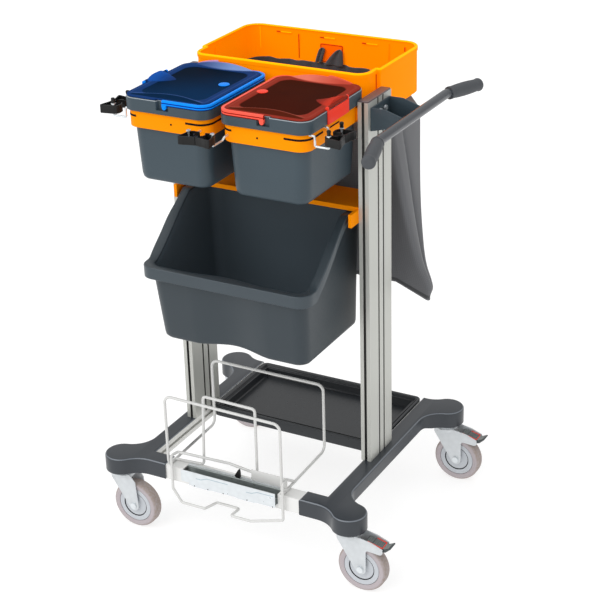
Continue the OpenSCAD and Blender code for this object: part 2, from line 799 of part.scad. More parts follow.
// Cloth bag: a hem lying on the tray's ledge, and a sack that draws flat and wide towards its bottom
// Outlines of the bag drawn in by i: at its bottom seam, at its mouth and round its hem
function seam_line(i) = [
    for (p = round_rect([bag_w - i, bag_foot - i], bag_foot - i - 0.5, 1)) p + [0, bag_mid]];
function mouth_line(i) = [for (p = round_rect(bag_mouth - [i, i], sack_r - i, 1)) p + [0, bag_mid]];
function hem_line(i) = round_box(hem_lo + [i, i], hem_hi - [i, i], hem_r - i, 3);

module laundry_bag() {
    foot_z = tray_bot - bag_h;
    color(cloth) loft([
        at_z(seam_line(0), foot_z), at_z(mouth_line(0), tray_bot), at_z(mouth_line(0), hem_z),
        at_z(mouth_line(bag_t), hem_z), at_z(mouth_line(bag_t), tray_bot),
        at_z(seam_line(bag_t), foot_z + 2 * bag_t)]);
}

// The bag's hem: a collar that lies on the tray's ledge and stands up along its walls
module bag_hem() {
    color(cloth) difference() {
        translate([0, 0, hem_z]) linear_extrude(hem_h) polygon(hem_line(0));
        translate([0, 0, hem_z + bag_t]) linear_extrude(hem_h) polygon(hem_line(bag_t));
        translate([0, 0, hem_z - 1]) linear_extrude(hem_h) polygon(mouth_line(bag_t));
    }
}

// Bin outline from half width, front, back and corner radius, with points along the sides
function bin_outline(w, yf, yb, r) =
    let (n = 10, run = yb - yf - 2 * r)
    concat(
        arc([w - r, yf + r], r, 270, 360),
        [for (k = [1:n - 1]) [w, yf + r + run * k / n]],
        arc([w - r, yb - r], r, 0, 90),
        arc([-w + r, yb - r], r, 90, 180),
        [for (k = [n - 1:-1:1]) [-w, yf + r + run * k / n]],
        arc([-w + r, yf + r], r, 180, 270));

// Share of the rise from the front lip to the back rim at a distance behind the lip
function lip_share(y) = max(0, min(1, (y + lip_y - lip_ramp[0]) / (lip_ramp[1] - lip_ramp[0])));
function lip_top(y) = bin_top - lip_drop + lip_drop * lip_share(y);
function lip_low(y) = lip_top(y) - lip_h + (lip_h - lip_back_h) * lip_share(y);

module bin() {
    wall = lip_w - lip_out;
    foot = wall - bin_taper;
    foot_y = -lip_y + bin_lean;
    yb = bin_back;
    lip_line = bin_outline(lip_w, -lip_y, yb, bin_r);
    wall_line = bin_outline(wall, -lip_y + lip_out, yb - 3, bin_r - 4);
    top_in = bin_outline(wall - bin_t, -lip_y + lip_out + bin_t, yb - 3 - bin_t, bin_r - 8);
    color(dark_plastic) loft([
        at_z(bin_outline(foot - 14, foot_y + 14, yb - 16, bin_r - 14), bin_bot),
        at_z(bin_outline(foot - 4, foot_y + 4, yb - 6, bin_r - 6), bin_bot + 4),
        at_z(bin_outline(foot, foot_y, yb - 3, bin_r - 4), bin_bot + 14),
        [for (p = wall_line) [p[0], p[1], lip_low(p[1])]],
        [for (p = lip_line) [p[0], p[1], lip_low(p[1])]],
        [for (p = lip_line) [p[0], p[1], lip_top(p[1])]],
        [for (p = top_in) [p[0], p[1], lip_top(p[1])]],
        at_z(bin_outline(foot - bin_t, foot_y + bin_t, yb - 3 - bin_t, bin_r - 8), bin_bot + 18),
        at_z(bin_outline(foot - 18, foot_y + 18, yb - 20, bin_r - 18), bin_bot + bin_t)]);
}

// Right bucket in place: a tapered tub with a rim band, cut back where the bail lies
module bucket() {
    inner = body_top - [bucket_t, bucket_t];
    floor_in = body_bot - [bucket_t, bucket_t];
    notch = 19;
    foot = bucket_r * 0.4;
    ease = bucket_r * 0.1;
    foot_h = bucket_r * 0.47;
    function tub(half, r, z) = at_z(round_rect(half, r), z);
    cut_in = bail_in - [bail_pad, bail_pad];
    color(dark_plastic) translate([bucket_x, bucket_y, 0]) difference() {
        loft([
            tub(body_bot - [foot, foot], bucket_r - foot, bucket_bot),
            tub(body_bot - [ease, ease], bucket_r - ease - 1, bucket_bot + ease + 1),
            tub(body_bot, bucket_r, bucket_bot + foot_h),
            tub(body_top, bucket_r, band_z),
            tub(band, bucket_r, band_z),
            tub(band, bucket_r, rim_seat),
            tub(inner, bucket_r - bucket_t, rim_seat),
            tub(floor_in, bucket_r - bucket_t, bucket_bot + foot_h + 2),
            tub(floor_in - [foot, foot], bucket_r - foot, bucket_bot + bucket_t)]);
        difference() {
            box([-band[0] - 1, -band[1] - 1, bail_bot - bail_pad], [0, band[1] + 1, rim_z]);
            translate([0, 0, bail_bot - 2]) linear_extrude(bail_h + 8)
                polygon(round_rect(cut_in, bucket_r - bail_t));
        }
        for (s = [-1, 1]) {
            box([-hook_half - 4, s > 0 ? cut_in[1] : -band[1] - 1, pivot_z - hook_half - 2],
                [notch, s > 0 ? band[1] + 1 : -cut_in[1], rim_z]);
            translate([0, 0, pivot_z])
                rod_y(bail_pin_d + 2 * run_fit, s > 0 ? cut_in[1] - 7 : -cut_in[1] - 1,
                      s > 0 ? cut_in[1] + 1 : -cut_in[1] + 7);
        }
    }
}

module right_bucket() {
    bucket();
}

module left_bucket() {
    mirror([1, 0, 0]) bucket();
}

// Lid of the right bucket: a plate with a shallow recess, a skirt inside the bucket and a hinge barrel
module lid() {
    skirt = body_top - [bucket_t + 2.5, bucket_t + 2.5];
    skirt_in = skirt - [panel_t, panel_t];
    skirt_r = bucket_r - 8;
    barrel = clip_len - 2 * ear_w - 2 * move_gap;
    z0 = rim_seat + move_gap;
    step_x = 22;
    side = [lid_in[0] - 6, lid_in[1] - 12];
    arch_c = lid_in[0] - bucket_r / 2;
    arch_r = (arch_c * arch_c + arch_h * arch_h) / (2 * arch_h);
    arch_a = asin(arch_c / arch_r);
    translate([bucket_x, bucket_y, 0]) difference() {
        union() {
            translate([0, 0, z0]) linear_extrude(lid_t)
                polygon(round_box(-lid_in, [lid_out[0], lid_in[1]], bucket_r - 10));
            translate([0, 0, z0]) linear_extrude(lid_t)
                polygon(round_box([step_x, -lid_out[1]], lid_out, bucket_r - 8));
            translate([0, 0, z0 - lid_sink]) linear_extrude(lid_sink + eps)
                polygon(round_rect(skirt, skirt_r));
            translate([hinge_x, 0, hinge_z]) rod_y(2 * barrel_r, -barrel / 2, barrel / 2);
            box([lid_out[0] - 8, -barrel / 2, z0], [hinge_x, barrel / 2, z0 + lid_t]);
            translate([0, lid_in[1] - arch_t / 2, 0]) upright(concat(
                arc([0, z0 + lid_t + arch_h - arch_r], arch_r, 90 - arch_a, 90 + arch_a, 12),
                [[-arch_c, z0 + 1], [arch_c, z0 + 1]]), arch_t);
        }
        translate([0, 0, z0 + lid_t - panel_drop]) linear_extrude(lid_t)
            polygon(round_box(-side, [lid_out[0] - 20, side[1]], skirt_r));
        translate([0, 0, z0 - lid_sink - 1]) linear_extrude(lid_sink + 1)
            polygon(round_rect(skirt_in, skirt_r - panel_t));
        translate([hinge_x, 0, hinge_z]) rod_y(hinge_d + 2 * run_fit, -clip_len, clip_len);
    }
}

module right_lid() {
    color(red_plastic, 0.7) lid();
}

module left_lid() {
    color(blue_plastic, 0.7) mirror([1, 0, 0]) lid();
}

// Bail of the right bucket: half a round rectangle with hooks that carry the pivot pins
module bail() {
    translate([bucket_x, bucket_y, 0]) {
        translate([0, 0, bail_bot]) linear_extrude(bail_h) intersection() {
            difference() {
                polygon(round_rect(bail_out, bucket_r));
                polygon(round_rect(bail_in, bucket_r - bail_t));
            }
            translate([-band[0] - 1, -band[1] - 1]) square([band[0] + 1 + hook_half, 2 * band[1] + 2]);
        }
        for (s = [-1, 1]) {
            y0 = s > 0 ? bail_in[1] : -bail_out[1];
            box([-hook_half, y0, pivot_z], [hook_half, y0 + bail_t, bail_bot + eps]);
            translate([0, 0, pivot_z]) rod_y(2 * hook_half, y0, y0 + bail_t);
            translate([0, 0, pivot_z])
                rod_y(bail_pin_d, s > 0 ? y0 - 6 : y0 + bail_t, s > 0 ? y0 : y0 + bail_t + 6);
        }
    }
}

module right_bail() {
    color(red_plastic) bail();
}

module left_bail() {
    color(blue_plastic) mirror([1, 0, 0]) bail();
}

// Clip on the outer side of the right bucket: a plate, two ears and the hinge pin of the lid
module lid_clip() {
    plate_t = 3;
    half = clip_len / 2;
    translate([bucket_x, bucket_y, 0]) {
        box([band[0], -half, band_z], [band[0] + plate_t, half, rim_seat]);
        for (s = [-1, 1]) {
            y0 = s > 0 ? half - ear_w : -half;
            box([band[0], y0, rim_seat - 1], [band[0] + plate_t, y0 + ear_w, hinge_z]);
            translate([hinge_x, 0, hinge_z]) rod_y(2 * barrel_r, y0, y0 + ear_w);
        }
        translate([hinge_x, 0, hinge_z]) rod_y(hinge_d, -half, half);
    }
}

module right_lid_clip() {
    color(red_plastic) lid_clip();
}

module left_lid_clip() {
    color(blue_plastic) mirror([1, 0, 0]) lid_clip();
}

// Disc in the recess of a lid, x off the bucket's middle
module lid_disc(x) {
    z0 = rim_seat + move_gap + lid_t - panel_drop;
    translate([bucket_x - x, bucket_y + 15, z0]) cylinder(d = disc_d, h = 2.5);
}

module right_lid_disc() {
    color(red_plastic) lid_disc(80);
}

module left_lid_disc() {
    color(blue_plastic) mirror([1, 0, 0]) lid_disc(64);
}

// Tool clips: a local frame with the tool's axis at the origin and the outward side along +X
module in_clip(c) {
    translate([c[0], c[1], c[3]]) rotate([0, 0, c[2]]) children();
}

// One arm of a clip from the ring's wall out and down to the jaw's pivot, at the side s; rise lifts its root
module clip_arm(reach, root, rise, s) {
    y = s * jaw_pitch / 2;
    z0 = jaw_mid + rise;
    z1 = jaw_bot - arm_d / 2 - move_gap;
    elbow = -reach * 0.78;
    path = bent([[-reach - 3, s * root, z0], [elbow, s * root, z0], [elbow, y, z1], [-2, y, z1]], 4);
    wire(path, arm_d, 10);
    translate([-2, y, z1]) cylinder(d = arm_d, h = jaw_h + arm_d + 5);
    translate([-2, y, jaw_bot + jaw_h + move_gap]) cylinder(d = arm_d * 1.8, h = jaw_h * 0.3);
}

module clip_arms() {
    side_root = jaw_pitch * 0.28;
    front_root = jaw_pitch * 0.58;
    rise = jaw_h / 4;
    color(zinc) {
        for (s = [-1, 1]) {
            in_clip(clip_right) clip_arm(clip_out, side_root, rise, s);
            in_clip(clip_left) clip_arm(clip_out, side_root, rise, s);
            in_clip(clip_front) clip_arm(clip_front_out, front_root, -rise, s);
        }
    }
}

// One jaw at the side s: a block with a hollow for the tool and a bore for the arm's pin
module jaw(s) {
    r = tool_d / 2;
    pivot = jaw_pitch / 2;
    outline = [
        [-r - 5, r * 0.6], [r + 9, r * 0.6], [r + 13, pivot - 8], [r + 6, pivot + 6], [-4, pivot + 9],
        [-r - 2, pivot + 4], [-r - 6, pivot - 8]];
    color(black_plastic) translate([0, 0, jaw_bot]) difference() {
        linear_extrude(jaw_h) mirror([0, s < 0 ? 1 : 0, 0]) polygon(outline);
        translate([0, 0, -1]) cylinder(d = tool_d, h = jaw_h + 2);
        translate([-2, s * pivot, -1]) cylinder(d = arm_d + 2 * run_fit, h = jaw_h + 2);
    }
}

module left_clip_jaw_front() {
    in_clip(clip_left) jaw(1);
}

module left_clip_jaw_rear() {
    in_clip(clip_left) jaw(-1);
}

module right_clip_jaw_front() {
    in_clip(clip_right) jaw(-1);
}

module right_clip_jaw_rear() {
    in_clip(clip_right) jaw(1);
}

module front_clip_jaw_left() {
    in_clip(clip_front) jaw(-1);
}

module front_clip_jaw_right() {
    in_clip(clip_front) jaw(1);
}

// Handle: a U bracket on the right post, a bent tube through its arms and two grips
module handle_bracket() {
    low = tube_z - 32;
    eye = tube_d / 2 + 5;
    arm = [
        [post_out, low], [tube_x - 4, tube_z - eye], [tube_x - 4, tube_z + eye - 3],
        [post_out, low + bracket_h]];
    color(dark_plastic) difference() {
        union() {
            box([post_out, -bracket_half, low], [post_out + bracket_wall, bracket_half, low + bracket_h]);
            for (s = [-1, 1]) translate([0, s * (bracket_half - bracket_wall / 2), 0]) {
                upright(arm, bracket_wall);
                translate([tube_x, 0, tube_z]) rod_y(2 * eye, -bracket_wall / 2, bracket_wall / 2);
            }
        }
        translate([tube_x, 0, tube_z])
            rod_y(tube_d + 2 * run_fit, -bracket_half - 1, bracket_half + 1);
        for (y = bolt_ys, z = bolt_zs) translate([post_out, y, z]) rotate([0, 90, 0])
            cylinder(d = bolt_d + 2 * run_fit, h = bracket_wall + 1);
    }
}

module bracket_bolts() {
    color(zinc) for (y = bolt_ys, z = bolt_zs) translate([post_out, y, z]) rotate([0, 90, 0]) {
        translate([0, 0, -slot_depth + 1]) cylinder(d = bolt_d, h = slot_depth + bracket_wall);
        translate([0, 0, bracket_wall]) cylinder(d = 12, h = 5);
    }
}

// Places its children at the start of a straight end, pointing along +Z, on the side s
module at_handle_end(s) {
    mirror([0, s < 0 ? 1 : 0, 0])
        translate([tube_x, 0, tube_z]) rotate([0, tube_tilt, 0])
            translate([tube_bend, tube_mid, 0]) rotate([0, 0, -tube_turn]) translate([-tube_bend, 0, 0])
                rotate([-90, 0, 0]) children();
}

// Points of one bent end of the handle's axis, from the middle outwards, on the side s
function handle_end(s) = [
    for (a = [tube_turn, tube_turn * 0.75, tube_turn * 0.5, tube_turn * 0.25, 0])
        let (u = tube_bend * (1 - cos(a)), v = tube_mid + tube_bend * sin(a))
        [tube_x + u * cos(tube_tilt), s * v, tube_z - u * sin(tube_tilt)]];

function handle_tip(s) =
    let (run = grip_len - 6,
         u = tube_bend * (1 - cos(tube_turn)) + run * sin(tube_turn),
         v = tube_mid + tube_bend * sin(tube_turn) + run * cos(tube_turn))
    [tube_x + u * cos(tube_tilt), s * v, tube_z - u * sin(tube_tilt)];

module handle_tube() {
    far = handle_end(1);
    near = handle_end(-1);
    path = concat(
        [handle_tip(-1)], near, [for (i = [len(far) - 1:-1:0]) far[i]], [handle_tip(1)]);
    color(dark_plastic) wire(path, tube_d, 32);
}

module grip(s) {
    rb = tube_d / 2 + run_fit;
    re = grip_d / 2;
    profile = concat(
        [[rb, 2], [rb + 3, 2], [re - 1.5, grip_len * 0.25], [re, grip_len * 0.5], [re - 1, grip_len * 0.8]],
        arc([re - 9, grip_len - 8], 8, 0, 90, 5),
        [[0, grip_len], [0, grip_len - 6 + run_fit], [rb, grip_len - 6 + run_fit]]);
    color(dark_plastic) at_handle_end(s) rotate_extrude() polygon(profile);
}

module grips() {
    for (s = [-1, 1]) grip(s);
}

// Castors: plates with kingpins under the covers, swivel forks, axles, hubs, tyres and brake pedals
module castor_plates() {
    plate_t = spine_rise + 3;
    plate_r = pad_r - cover_t - 6;
    tie = plate_r - 14;
    foot_h = 4;
    foot_z = crown_bot - move_gap - foot_h;
    color(zinc) for (c = corners) translate([c[0] * castor_x, c[1] * castor_y, 0])
        mirror([c[0] < 0 ? 1 : 0, 0, 0]) {
            translate([0, 0, rail_bot]) cylinder(r = plate_r, h = plate_t);
            box([rail_out - castor_x, -tie, rail_bot], [0, tie, rail_bot + plate_t]);
            translate([0, 0, foot_z]) cylinder(d = kingpin_d, h = rail_bot - foot_z + 4);
            translate([0, 0, foot_z]) cylinder(d = kingpin_d + 8, h = foot_h);
        }
}

// Moves its children to the castor at corner c
module at_castor(c) {
    translate([c[0] * castor_x, c[1] * castor_y, 0]) children();
}

// Leg of a fork in X and Z: from the crown down to the axle, with an arm for the brake if braked
function leg_outline(braked) = concat(
    [[-head_r + 3, crown_top]],
    [[-head_r + 4, crown_bot - 6]],
    arc([trail, axle_z], leg_r, 215, 360, 8),
    braked
        ? concat([[trail + leg_r, axle_z * 1.8]],
                 [for (p = [[0.29, 1.9], [0.35, 1.93], [0.78, 1.87], [0.91, 1.98], [0.93, 2.12], [0.45, 2.3]])
                     [trail, 0] + p * axle_z],
                 [[head_r - 1, crown_top]])
        : [[trail + leg_r - 6, crown_bot - 10], [head_r - 1, crown_top]]);

module fork(c, braked) {
    color(zinc) at_castor(c) difference() {
        union() {
            translate([0, 0, crown_bot]) cylinder(r = head_r, h = crown_h);
            translate([0, 0, crown_top - eps]) cylinder(r = head_r - 4, h = head_h);
            for (s = [-1, 1]) translate([0, s * (fork_in + fork_t / 2), 0])
                upright(leg_outline(braked), fork_t);
        }
        translate([0, 0, crown_bot - 1]) cylinder(d = kingpin_d + 2 * run_fit, h = crown_h + head_h + 2);
        translate([trail, 0, axle_z]) rod_y(axle_d + 2 * run_fit, -fork_out - 1, fork_out + 1);
        if (braked) translate([pedal_pivot[0], 0, pedal_pivot[1]])
            rod_y(pedal_pin_d + 2 * run_fit, -fork_out - 1, fork_out + 1);
    }
}

module axle(c) {
    nut_h = 4;
    color(zinc) at_castor(c) translate([trail, 0, axle_z]) {
        rod_y(axle_d, -fork_out - nut_h, fork_out + nut_h);
        for (s = [0, 1]) mirror([0, s, 0]) rod_y(axle_d + 6, fork_out, fork_out + nut_h);
    }
}

module hub(c) {
    r = hub_d / 2;
    rb = axle_d / 2 + run_fit;
    hw = fork_in - hub_gap;
    fw = tyre_w / 2 - 2;
    face = [
        [rb, hw], [rb + 8, hw], [rb + 10, fw - 2], [r - 12, fw - 2], [r - 11, fw - 5], [r - 9, fw - 5],
        [r - 8, fw], [r, fw]];
    profile = concat(face, [for (i = [len(face) - 1:-1:0]) [face[i][0], -face[i][1]]]);
    color(hub_grey) at_castor(c) translate([trail, 0, axle_z]) rotate([90, 0, 0])
        rotate_extrude() polygon(profile);
}

module tyre(c) {
    ri = hub_d / 2 + run_fit;
    ro = wheel_d / 2;
    hw = tyre_w / 2;
    round = 8;
    profile = concat(
        [[ri, -hw + 1.5]],
        arc([ro - round, -hw + round], round, 270, 360),
        arc([ro - round, hw - round], round, 0, 90),
        [[ri, hw - 1.5]]);
    color(tread_grey) at_castor(c) translate([trail, 0, axle_z]) rotate([90, 0, 0])
        rotate_extrude() polygon(profile);
}

// Brake pedal between the fork's arms: a ridged plate with an upturned tip and its pivot pin
module brake_pedal(c) {
    x = pedal_pivot[0];
    z = pedal_pivot[1];
    outline = [
        [x - 8, z - 5], [x + 6, z - 5], [x + 37, z - 12], [x + 47, z - 8], [x + 60, z + 4], [x + 57, z + 6.5],
        [x + 44, z - 0.5], [x + 38, z], [x + 4, z + 9], [x - 6, z + 8.5]];
    color(dark_plastic) at_castor(c) {
        upright(outline, pedal_w);
        translate([x, 0, z]) rod_y(pedal_pin_d, -fork_out, fork_out);
    }
}

side_rails();
front_rail();
cross_rails();
left_base_cover();
right_base_cover();
rear_tray();
mop_channel();
channel_stop();
wire_rack();
left_post();
right_post();
post_caps();
upper_beam();
bin_bracket();
left_bucket_ring();
right_bucket_ring();
top_tray();
laundry_bag();
bag_hem();
bin();
left_bucket();
right_bucket();
left_lid();
right_lid();
left_bail();
right_bail();
left_lid_clip();
right_lid_clip();
left_lid_disc();
right_lid_disc();
clip_arms();
left_clip_jaw_front();
left_clip_jaw_rear();
right_clip_jaw_front();
right_clip_jaw_rear();
front_clip_jaw_left();
front_clip_jaw_right();
handle_bracket();
handle_tube();
grips();
bracket_bolts();
castor_plates();
fork([-1, -1], false);  // fork_fl
fork([1, -1], true);  // fork_fr
fork([-1, 1], false);  // fork_rl
fork([1, 1], true);  // fork_rr
axle([-1, -1]);  // axle_fl
axle([1, -1]);  // axle_fr
axle([-1, 1]);  // axle_rl
axle([1, 1]);  // axle_rr
hub([-1, -1]);  // hub_fl
hub([1, -1]);  // hub_fr
hub([-1, 1]);  // hub_rl
hub([1, 1]);  // hub_rr
tyre([-1, -1]);  // tyre_fl
tyre([1, -1]);  // tyre_fr
tyre([-1, 1]);  // tyre_rl
tyre([1, 1]);  // tyre_rr
brake_pedal([1, -1]);  // brake_pedal_front
brake_pedal([1, 1]);  // brake_pedal_rear
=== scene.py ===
import math
from collections import namedtuple

import bmesh
import bpy
import numpy as np
from bpy.props import FloatProperty, FloatVectorProperty, PointerProperty
from mathutils import Matrix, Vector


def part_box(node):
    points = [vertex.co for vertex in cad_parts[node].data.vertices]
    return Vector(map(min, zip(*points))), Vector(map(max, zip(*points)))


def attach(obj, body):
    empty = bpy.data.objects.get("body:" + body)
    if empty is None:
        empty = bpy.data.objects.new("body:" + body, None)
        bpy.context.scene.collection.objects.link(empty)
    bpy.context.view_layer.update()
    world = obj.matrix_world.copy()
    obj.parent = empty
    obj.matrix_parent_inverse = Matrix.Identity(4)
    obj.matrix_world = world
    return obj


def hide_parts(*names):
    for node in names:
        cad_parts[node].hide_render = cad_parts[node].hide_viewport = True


bl_info = {
    "name": "Janitor cart finish",
    "version": (1, 0, 0),
    "blender": (4, 5, 0),
    "location": "3D View > Sidebar > Cart",
    "description": "Moulded, woven and metal finishes and forms over the cart's packed frame",
    "category": "Object",
}

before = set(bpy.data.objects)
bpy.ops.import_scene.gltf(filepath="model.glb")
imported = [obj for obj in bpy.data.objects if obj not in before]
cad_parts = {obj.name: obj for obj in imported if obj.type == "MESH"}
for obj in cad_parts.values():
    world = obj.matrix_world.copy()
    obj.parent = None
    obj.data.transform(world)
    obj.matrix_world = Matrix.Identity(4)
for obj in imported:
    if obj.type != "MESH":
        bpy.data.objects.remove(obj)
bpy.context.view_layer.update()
MM = 0.001
# Finishes by name, which the first operator makes
FINISH = {}


def box_mm(node):
    """A CAD node's lowest and highest corners in millimetres, to a hundredth."""
    return np.round(np.array(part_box(node)) / MM, 2)


def lin(code):
    """Linear colour of an sRGB hex code, with full cover."""
    c = np.array([int(code[i:i + 2], 16) for i in (1, 3, 5)]) / 255.0
    c = np.where(c <= 0.04045, c / 12.92, ((c + 0.055) / 1.055) ** 2.4)
    return (float(c[0]), float(c[1]), float(c[2]), 1.0)


def colour(name, text, code):
    """A colour property from an sRGB hex code."""
    return FloatVectorProperty(name=name, description=text, size=4, min=0, max=1, subtype="COLOR",
                               default=lin(code))


def length(name, text, mm):
    """A length property in metres from millimetres."""
    return FloatProperty(name=name, description=text, default=mm * MM, unit="LENGTH", subtype="DISTANCE")


class CartColours(bpy.types.PropertyGroup):
    """Colours of the cart's finishes."""
    grey: colour("Grey plastic", "Buckets and handle bracket", "#3d4a52")
    bin: colour("Bin plastic", "Open bin", "#323b41")
    cover: colour("Cover plastic", "Base covers", "#373b40")
    orange: colour("Orange plastic", "Top tray", "#ff8c00")
    blue: colour("Blue plastic", "Left lid's clip and disc", "#0484f2")
    red: colour("Red plastic", "Right lid's clip and disc", "#f0402f")
    black: colour("Black plastic", "Jaws and stop", "#1b1b1b")
    shelf: colour("Rear tray", "Near-black moulding of the rear tray", "#292c2f")
    cloth: colour("Cloth", "Woven bag", "#66676a")
    tread: colour("Tread", "Grey rubber of the tyres", "#b0a7aa")
    hub: colour("Hub", "Pale grey wheel centres", "#bcc0c5")
    coat: colour("White coat", "Powder coat of the front rail", "#e6e6e4")
    wire: colour("White wire", "Powder coat of the rack", "#d4d4d2")
    floor: colour("Floor", "Studio floor", "#a8a8a8")


class CartSizes(bpy.types.PropertyGroup):
    """Sizes of the details that the solids leave plain."""
    cover_edge: length("Cover edge", "Radius along the top of the base covers", 6.0)
    scoop: length("Bin scoop", "Depth of the hollow in the bin's front", 17.0)
    scoop_rise: length("Bin foot rise", "Rise of the bin's foot under the hollow", 5.0)
    flare: length("Bin lip flare", "Outward flare of the bin's side lips", 2.5)
    fold: length("Bag fold", "Depth of the bag's upright folds", 5.0)
    ridge: length("Bail ridge", "Height of the ridges along the bails", 1.1)


# Shapes

# Largest cosine taken at a corner, so that a straight run keeps an angle
STRAIGHT = 0.99999
# Smallest radius left at a corner that is drawn in
LEAST_R = 0.2


def unit(v):
    """Vectors divided by their own lengths."""
    return v / np.linalg.norm(v, axis=-1, keepdims=True)


def smooth(t):
    """Smooth step from 0 to 1: three t squared less two t cubed, held at the ends."""
    t = np.clip(t, 0.0, 1.0)
    return t * t * (3.0 - 2.0 * t)


def arc(c, r, a0, a1, n):
    """Points of a circle about c from angle a0 to a1 in degrees, in n equal steps."""
    a = np.radians(np.linspace(a0, a1, n + 1))
    return np.stack((c[0] + r * np.cos(a), c[1] + r * np.sin(a)), -1)


def corner_ways(p):
    """Unit ways from each corner to the one before and the one after, and half the angle between them."""
    u = unit(np.roll(p, 1, 0) - p)
    v = unit(np.roll(p, -1, 0) - p)
    return u, v, np.arccos(np.clip((u * v).sum(-1), -STRAIGHT, STRAIGHT)) / 2.0


def rounded_path(points, radius, steps=6, closed=False):
    """Straight runs joined by arcs: at each corner the arc's centre lies on the bisector, radius over the
    sine of half the angle away, and the arc swings from one tangent point to the other."""
    p = np.asarray(points, float)
    r = np.broadcast_to(np.asarray(radius, float), len(p))
    u, v, half = corner_ways(p)
    centre = p + unit(u + v) * (r / np.sin(half))[:, None]
    start = p + u * (r / np.tan(half))[:, None] - centre
    end = p + v * (r / np.tan(half))[:, None] - centre
    swing = (math.pi - 2.0 * half)[:, None, None]
    t = np.linspace(0.0, 1.0, steps + 1)[None, :, None]
    swung = start[:, None] * np.sin((1 - t) * swing) + end[:, None] * np.sin(t * swing)
    bends = centre[:, None] + swung / np.sin(swing)
    if closed:
        return bends.reshape(-1, p.shape[1])
    return np.concatenate((p[:1], bends[1:-1].reshape(-1, p.shape[1]), p[-1:]))


def outline(corners, radius, inset=0.0, steps=6):
    """Closed round-cornered outline, anticlockwise, drawn in by inset: the corners move along their
    bisectors and the radius shrinks at an outer corner and grows at an inner one."""
    p = np.asarray(corners, float)
    u, v, half = corner_ways(p)
    way = np.sign(v[:, 0] * u[:, 1] - v[:, 1] * u[:, 0])
    p = p + unit(u + v) * (way * inset / np.sin(half))[:, None]
    return rounded_path(p, np.maximum(radius - way * inset, LEAST_R), steps, True)


def rect(hx, hy, r, inset=0.0, centre=(0.0, 0.0), steps=8):
    """Round-cornered rectangle outline about a centre from its half sizes."""
    c = np.array(centre)
    return outline(np.array(((-hx, -hy), (hx, -hy), (hx, hy), (-hx, hy))) + c, r, inset, steps)


def denser(p, counts):
    """A closed outline with each run split into counts equal parts."""
    run = np.repeat(np.arange(len(p)), counts)
    part = np.arange(len(run)) - np.repeat(np.cumsum(counts) - counts, counts)
    t = (part / np.asarray(counts)[run])[:, None]
    return p[run] * (1 - t) + np.roll(p, -1, 0)[run] * t


def splits(p, step):
    """How many parts each run of a closed outline needs so that none is longer than step."""
    gap = np.linalg.norm(np.roll(p, -1, 0) - p, axis=1)
    return np.maximum(1, np.ceil(gap / step)).astype(int)


def at(p, z):
    """An outline raised to the height z, one value or one for each point."""
    return np.concatenate((p, np.broadcast_to(np.asarray(z, float).reshape(-1, 1), (len(p), 1))), -1)


def soft_edge(edge, steps=4):
    """Inset and drop along a quarter circle, from the wall to the top."""
    a = np.linspace(0.0, math.pi / 2, steps + 1)
    return list(zip(edge * (1 - np.cos(a)), edge * (1 - np.sin(a))))


def slab(line, z0, z1, edge, steps=3):
    """Rings of an upright prism with rounded edges: line(inset) drawn in along quarter circles at both
    ends."""
    turn = soft_edge(edge, steps)
    low = [at(line(i), z0 + d) for i, d in reversed(turn)]
    return np.stack(low + [at(line(i), z1 - d) for i, d in turn])


def sweep(path, profile, up=(0.0, 0.0, 1.0)):
    """Rings of a profile carried along a path: its first coordinate lies across the run and level, its
    second is square to both."""
    t = unit(np.gradient(path, axis=0))
    side = unit(np.cross(t, np.asarray(up, float)))
    rise = np.cross(side, t)
    return path[:, None] + profile[None, :, :1] * side[:, None] + profile[None, :, 1:] * rise[:, None]


# A direction that no wire runs along, to turn the wires' rings by
ASKEW = unit(np.array((0.43, 0.71, 0.56)))


def tube(path, d, sides=14):
    """Rings of a round wire: a circle carried along the path."""
    a = np.linspace(0.0, 2 * math.pi, sides, endpoint=False)
    return sweep(path, np.stack((np.cos(a), np.sin(a)), -1) * d / 2, ASKEW)


def turned(profile, n=64):
    """Rings of a profile of radius and height turned about Z."""
    a = np.linspace(0.0, 2 * math.pi, n, endpoint=False)
    p = np.asarray(profile, float)
    ring = np.stack((np.cos(a), np.sin(a)), -1)
    return np.concatenate((p[:, None, :1] * ring[None], np.broadcast_to(p[:, None, 1:], (len(p), n, 1))), -1)


def along_y(p):
    """Turns a shape built along Z so that it lies along Y, with X kept."""
    return np.stack((p[..., 0], -p[..., 2], p[..., 1]), -1)


def flip(p):
    """Mirror in the plane between the posts."""
    return p * np.array((-1.0, 1.0, 1.0))


